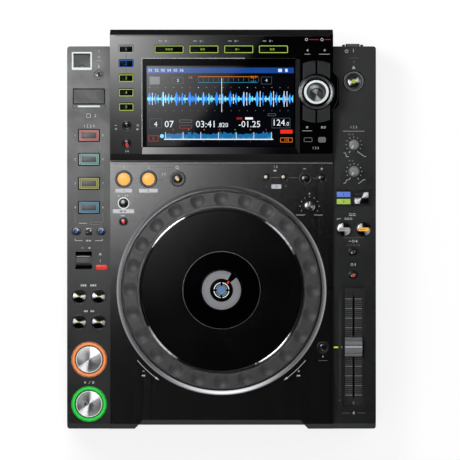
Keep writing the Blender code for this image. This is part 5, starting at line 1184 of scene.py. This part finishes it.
# Marks printed on the console
white, grey = Print(SLOPE), Print(SLOPE)
for a, b in zip(source_y, source_y[1:]):
    grey.line([(-98.4, a - 5.3), (-98.4, b + 5.3)], 0.6)
for x in menu_x:
    white.line([(x - 11.0, 194.1), (x - 7.2, 194.1)], 0.5)
    white.icon("o.", x - 3.4, 194.1, 1.9)
white.add(icon=[("-", -109.4, 107.4, 2.4), ("=", -109.2, 103.6, 2.0), ("o", -86.6, 107.4, 2.2),
    ("|>", -87.2, 103.4, 2.0), ("<", 88.6, 184.6, 2.4), ("+", 106.4, 184.6, 2.4), ("=", 88.6, 105.4, 2.2),
    ("=o", 104.0, 105.4, 2.2), ("o", 87.6, 195.6, 3.0), ("o", 103.6, 195.6, 3.0)],
    number=[("1/4", -98.0, 80.6, 2.3), ("1 2 3", 97.4, 84.0, 2.4)],
    line=[([(85.6, 180.6), (91.6, 180.6)], 0.4), ([(100.6, 180.6), (111.6, 180.6)], 0.4),
    ([(83.6, 101.8), (93.6, 101.8)], 0.4)])
grey.outline(89.6, 92.6, 8.8, 4.6, 0.6, 1.2)
grey.pill(104.0, 92.6, 8.0, 5.6, 1.6)
white.done("console_prints", ink_painted_glow, lift=0.06)
grey.done("console_lines", faint_painted_glow, lift=0.06)
# Painted highlight: a thin light line along the edge of the console's raised bulge.
prints("console_bulge_painted_highlight", SLOPE, well, lift=0.06,
    line=[([(114.6, 164.4), (120.2, 157.0), (120.2, 133.4), (114.6, 122.6)], 0.4)])
# Printed red lines, with a painted glow.
prints("console_red_line", SLOPE, finish("ink_red_painted_glow", (132, 24, 26), 0.4, glow=0.3), lift=0.06,
    line=[([(90.6, 195.6), (100.6, 195.6)], 0.9), ([(106.4, 195.6), (112.6, 195.6)], 0.9)])

# Camera
camera = bpy.data.objects.new("camera", bpy.data.cameras.new("camera"))
bpy.context.scene.collection.objects.link(camera)
bpy.context.scene.camera = camera
distance, shown_width, sensor = 9.0, 0.4764, 36
camera.data.sensor_width = sensor
camera.data.lens = sensor * distance / shown_width
camera.data.clip_end = 60
camera.location = (0.0088, -0.0008, 78 * MM + distance)


# Light, floor and reflected cards


def area(name, place, target, size, watts, depth=None, shown=True):
    light = bpy.data.lights.new(name, "AREA")
    light.energy, light.size = watts, size
    if depth:
        light.shape, light.size_y = "RECTANGLE", depth
    lamp = bpy.data.objects.new(name, light)
    lamp.location = place
    lamp.rotation_euler = (Vector(target) - Vector(place)).to_track_quat("-Z", "Y").to_euler()
    lamp.visible_camera = False
    lamp.visible_glossy = shown
    bpy.context.scene.collection.objects.link(lamp)
    return lamp


area("key_light", (-0.17, 0.25, 0.72), (-0.13, 0.17, 0.08), 0.26, 2.2, shown=False)
area("low_light", (-0.95, 0.85, 0.62), (0, 0, 0.08), 0.5, 6.5, shown=False)
area("front_light", (-0.1, -1.25, 0.75), (0, 0, 0.08), 1.7, 3.6, 0.55, shown=False)
area("side_light", (1.3, 0.3, 0.9), (0, 0, 0.08), 0.9, 4.0, 0.5, shown=False)


def card(name, points, height, terms):
    """A card that only shows in polished surfaces, bright round the places that the terms give."""
    mesh = bpy.data.meshes.new(name)
    mesh.from_pydata([(x, y, height) for x, y in points], [], [list(range(len(points)))])
    obj = bpy.data.objects.new(name, mesh)
    bpy.context.scene.collection.objects.link(obj)
    look = Look(name, 1, 0)
    look.tree.nodes.remove(look.shader)
    power = 0.0
    for x, y, reach, strength in terms:
        far = look.node("VectorMath", {0: look.node("TexCoord", out=3), 1: (x, y, height)}, out=1,
            operation="DISTANCE")
        near = look.math("POWER", look.ranged(far, 1, 0, 0, reach), 2.0)
        power = look.math("ADD", power, look.math("MULTIPLY", near, strength))
    glow = look.node("Emission", {"Strength": power})
    output = [n for n in look.tree.nodes if n.type == "OUTPUT_MATERIAL"][0]
    look.tree.links.new(glow, output.inputs["Surface"])
    mesh.materials.append(look.material)
    obj.visible_camera = obj.visible_diffuse = obj.visible_shadow = obj.visible_transmission = False
    return obj


def mirrored(x, y, height):
    """Where the sight line that meets the sloping console at x, y crosses a level card."""
    place = Vector((x, y, TOP_Z - (REAR_Y - y) * tan(TILT))) * MM
    sight = (place - camera.location).normalized()
    normal = Vector((0, -sin(TILT), cos(TILT)))
    bounce = sight - 2 * sight.dot(normal) * normal
    return (place + bounce * ((height - place.z) / bounce.z)).xy


CARD = 1.1
edge = [mirrored(48.6, 205.0, CARD), mirrored(-64.6, 60.0, CARD)]
left = [mirrored(-150, 60, CARD), *edge[::-1], mirrored(48.6, 212, CARD), mirrored(-150, 212, CARD)]
right = [edge[1], mirrored(150, 60, CARD), mirrored(150, 212, CARD), mirrored(48.6, 212, CARD), edge[0]]
card("console_card", left, CARD, ((*mirrored(-120, 205, CARD), 0.15, 11.0),
    (*mirrored(-75, 150, CARD), 0.22, 2.4)))
card("console_flag", right, CARD, ())
card("corner_card", [(-0.6, -0.1), (0.4, -0.1), (0.4, 0.6), (-0.6, 0.6)], 0.70,
    ((-0.19, 0.19, 0.30, 26.0), (-0.13, 0.055, 0.12, 11.0), (0.17, 0.2, 0.2, 3.0)))
card("front_card", [(-0.6, -1.8), (0.9, -1.8), (0.9, -0.6), (-0.6, -0.6)], 0.85, ((0.05, -1.15, 0.75, 9.0),))
card("rear_flag", [(-0.5, 0.62), (0.5, 0.62), (0.5, 1.5), (-0.5, 1.5)], 0.85, ())

floor_mesh = bpy.data.meshes.new("floor")
floor_mesh.from_pydata([(x, y, FLOOR_Z) for x, y in ((-30, -30), (30, -30), (30, 30), (-30, 30))], [],
    [(0, 1, 2, 3)])
floor = bpy.data.objects.new("floor", floor_mesh)
bpy.context.scene.collection.objects.link(floor)
look = Look("floor", 0.9, 0, 0.0)
look.set(look.shader, {"Base Color": (0.3, 0.3, 0.3, 1)})
path = look.tree.nodes.new("ShaderNodeLightPath").outputs
seen = look.math("MAXIMUM", path["Is Glossy Ray"], path["Is Transmission Ray"])
seen = look.math("MAXIMUM", path["Is Camera Ray"], seen)
look.set(look.shader, {"Emission Color": (1, 1, 1, 1), "Emission Strength": look.math("MULTIPLY", seen, 0.8)})
floor_mesh.materials.append(look.material)

world = bpy.data.worlds.new("studio")
bpy.context.scene.world = world
sky = Nodes(world)
split = sky.tree.nodes.new("ShaderNodeSeparateXYZ")
sky.set(split, {0: sky.node("TexCoord")})
path = sky.tree.nodes.new("ShaderNodeLightPath").outputs
mirrored_sky = sky.ranged(split.outputs[2], 1.0, 0.07, 0.25, 0.7)
shine = sky.math("MAXIMUM", path["Is Glossy Ray"], path["Is Transmission Ray"])
level = sky.math("ADD", SKY_FILL, sky.math("MULTIPLY", shine, sky.math("SUBTRACT", mirrored_sky, SKY_FILL)))
dimmed = sky.math("MULTIPLY", sky.math("SUBTRACT", 1.0, path["Is Camera Ray"]), level)
strength = sky.math("ADD", path["Is Camera Ray"], dimmed)
sky.set(sky.tree.nodes["Background"], {"Color": (1, 1, 1, 1), "Strength": strength})

bpy.context.scene.view_settings.view_transform = "Standard"
bpy.context.view_layer.update()
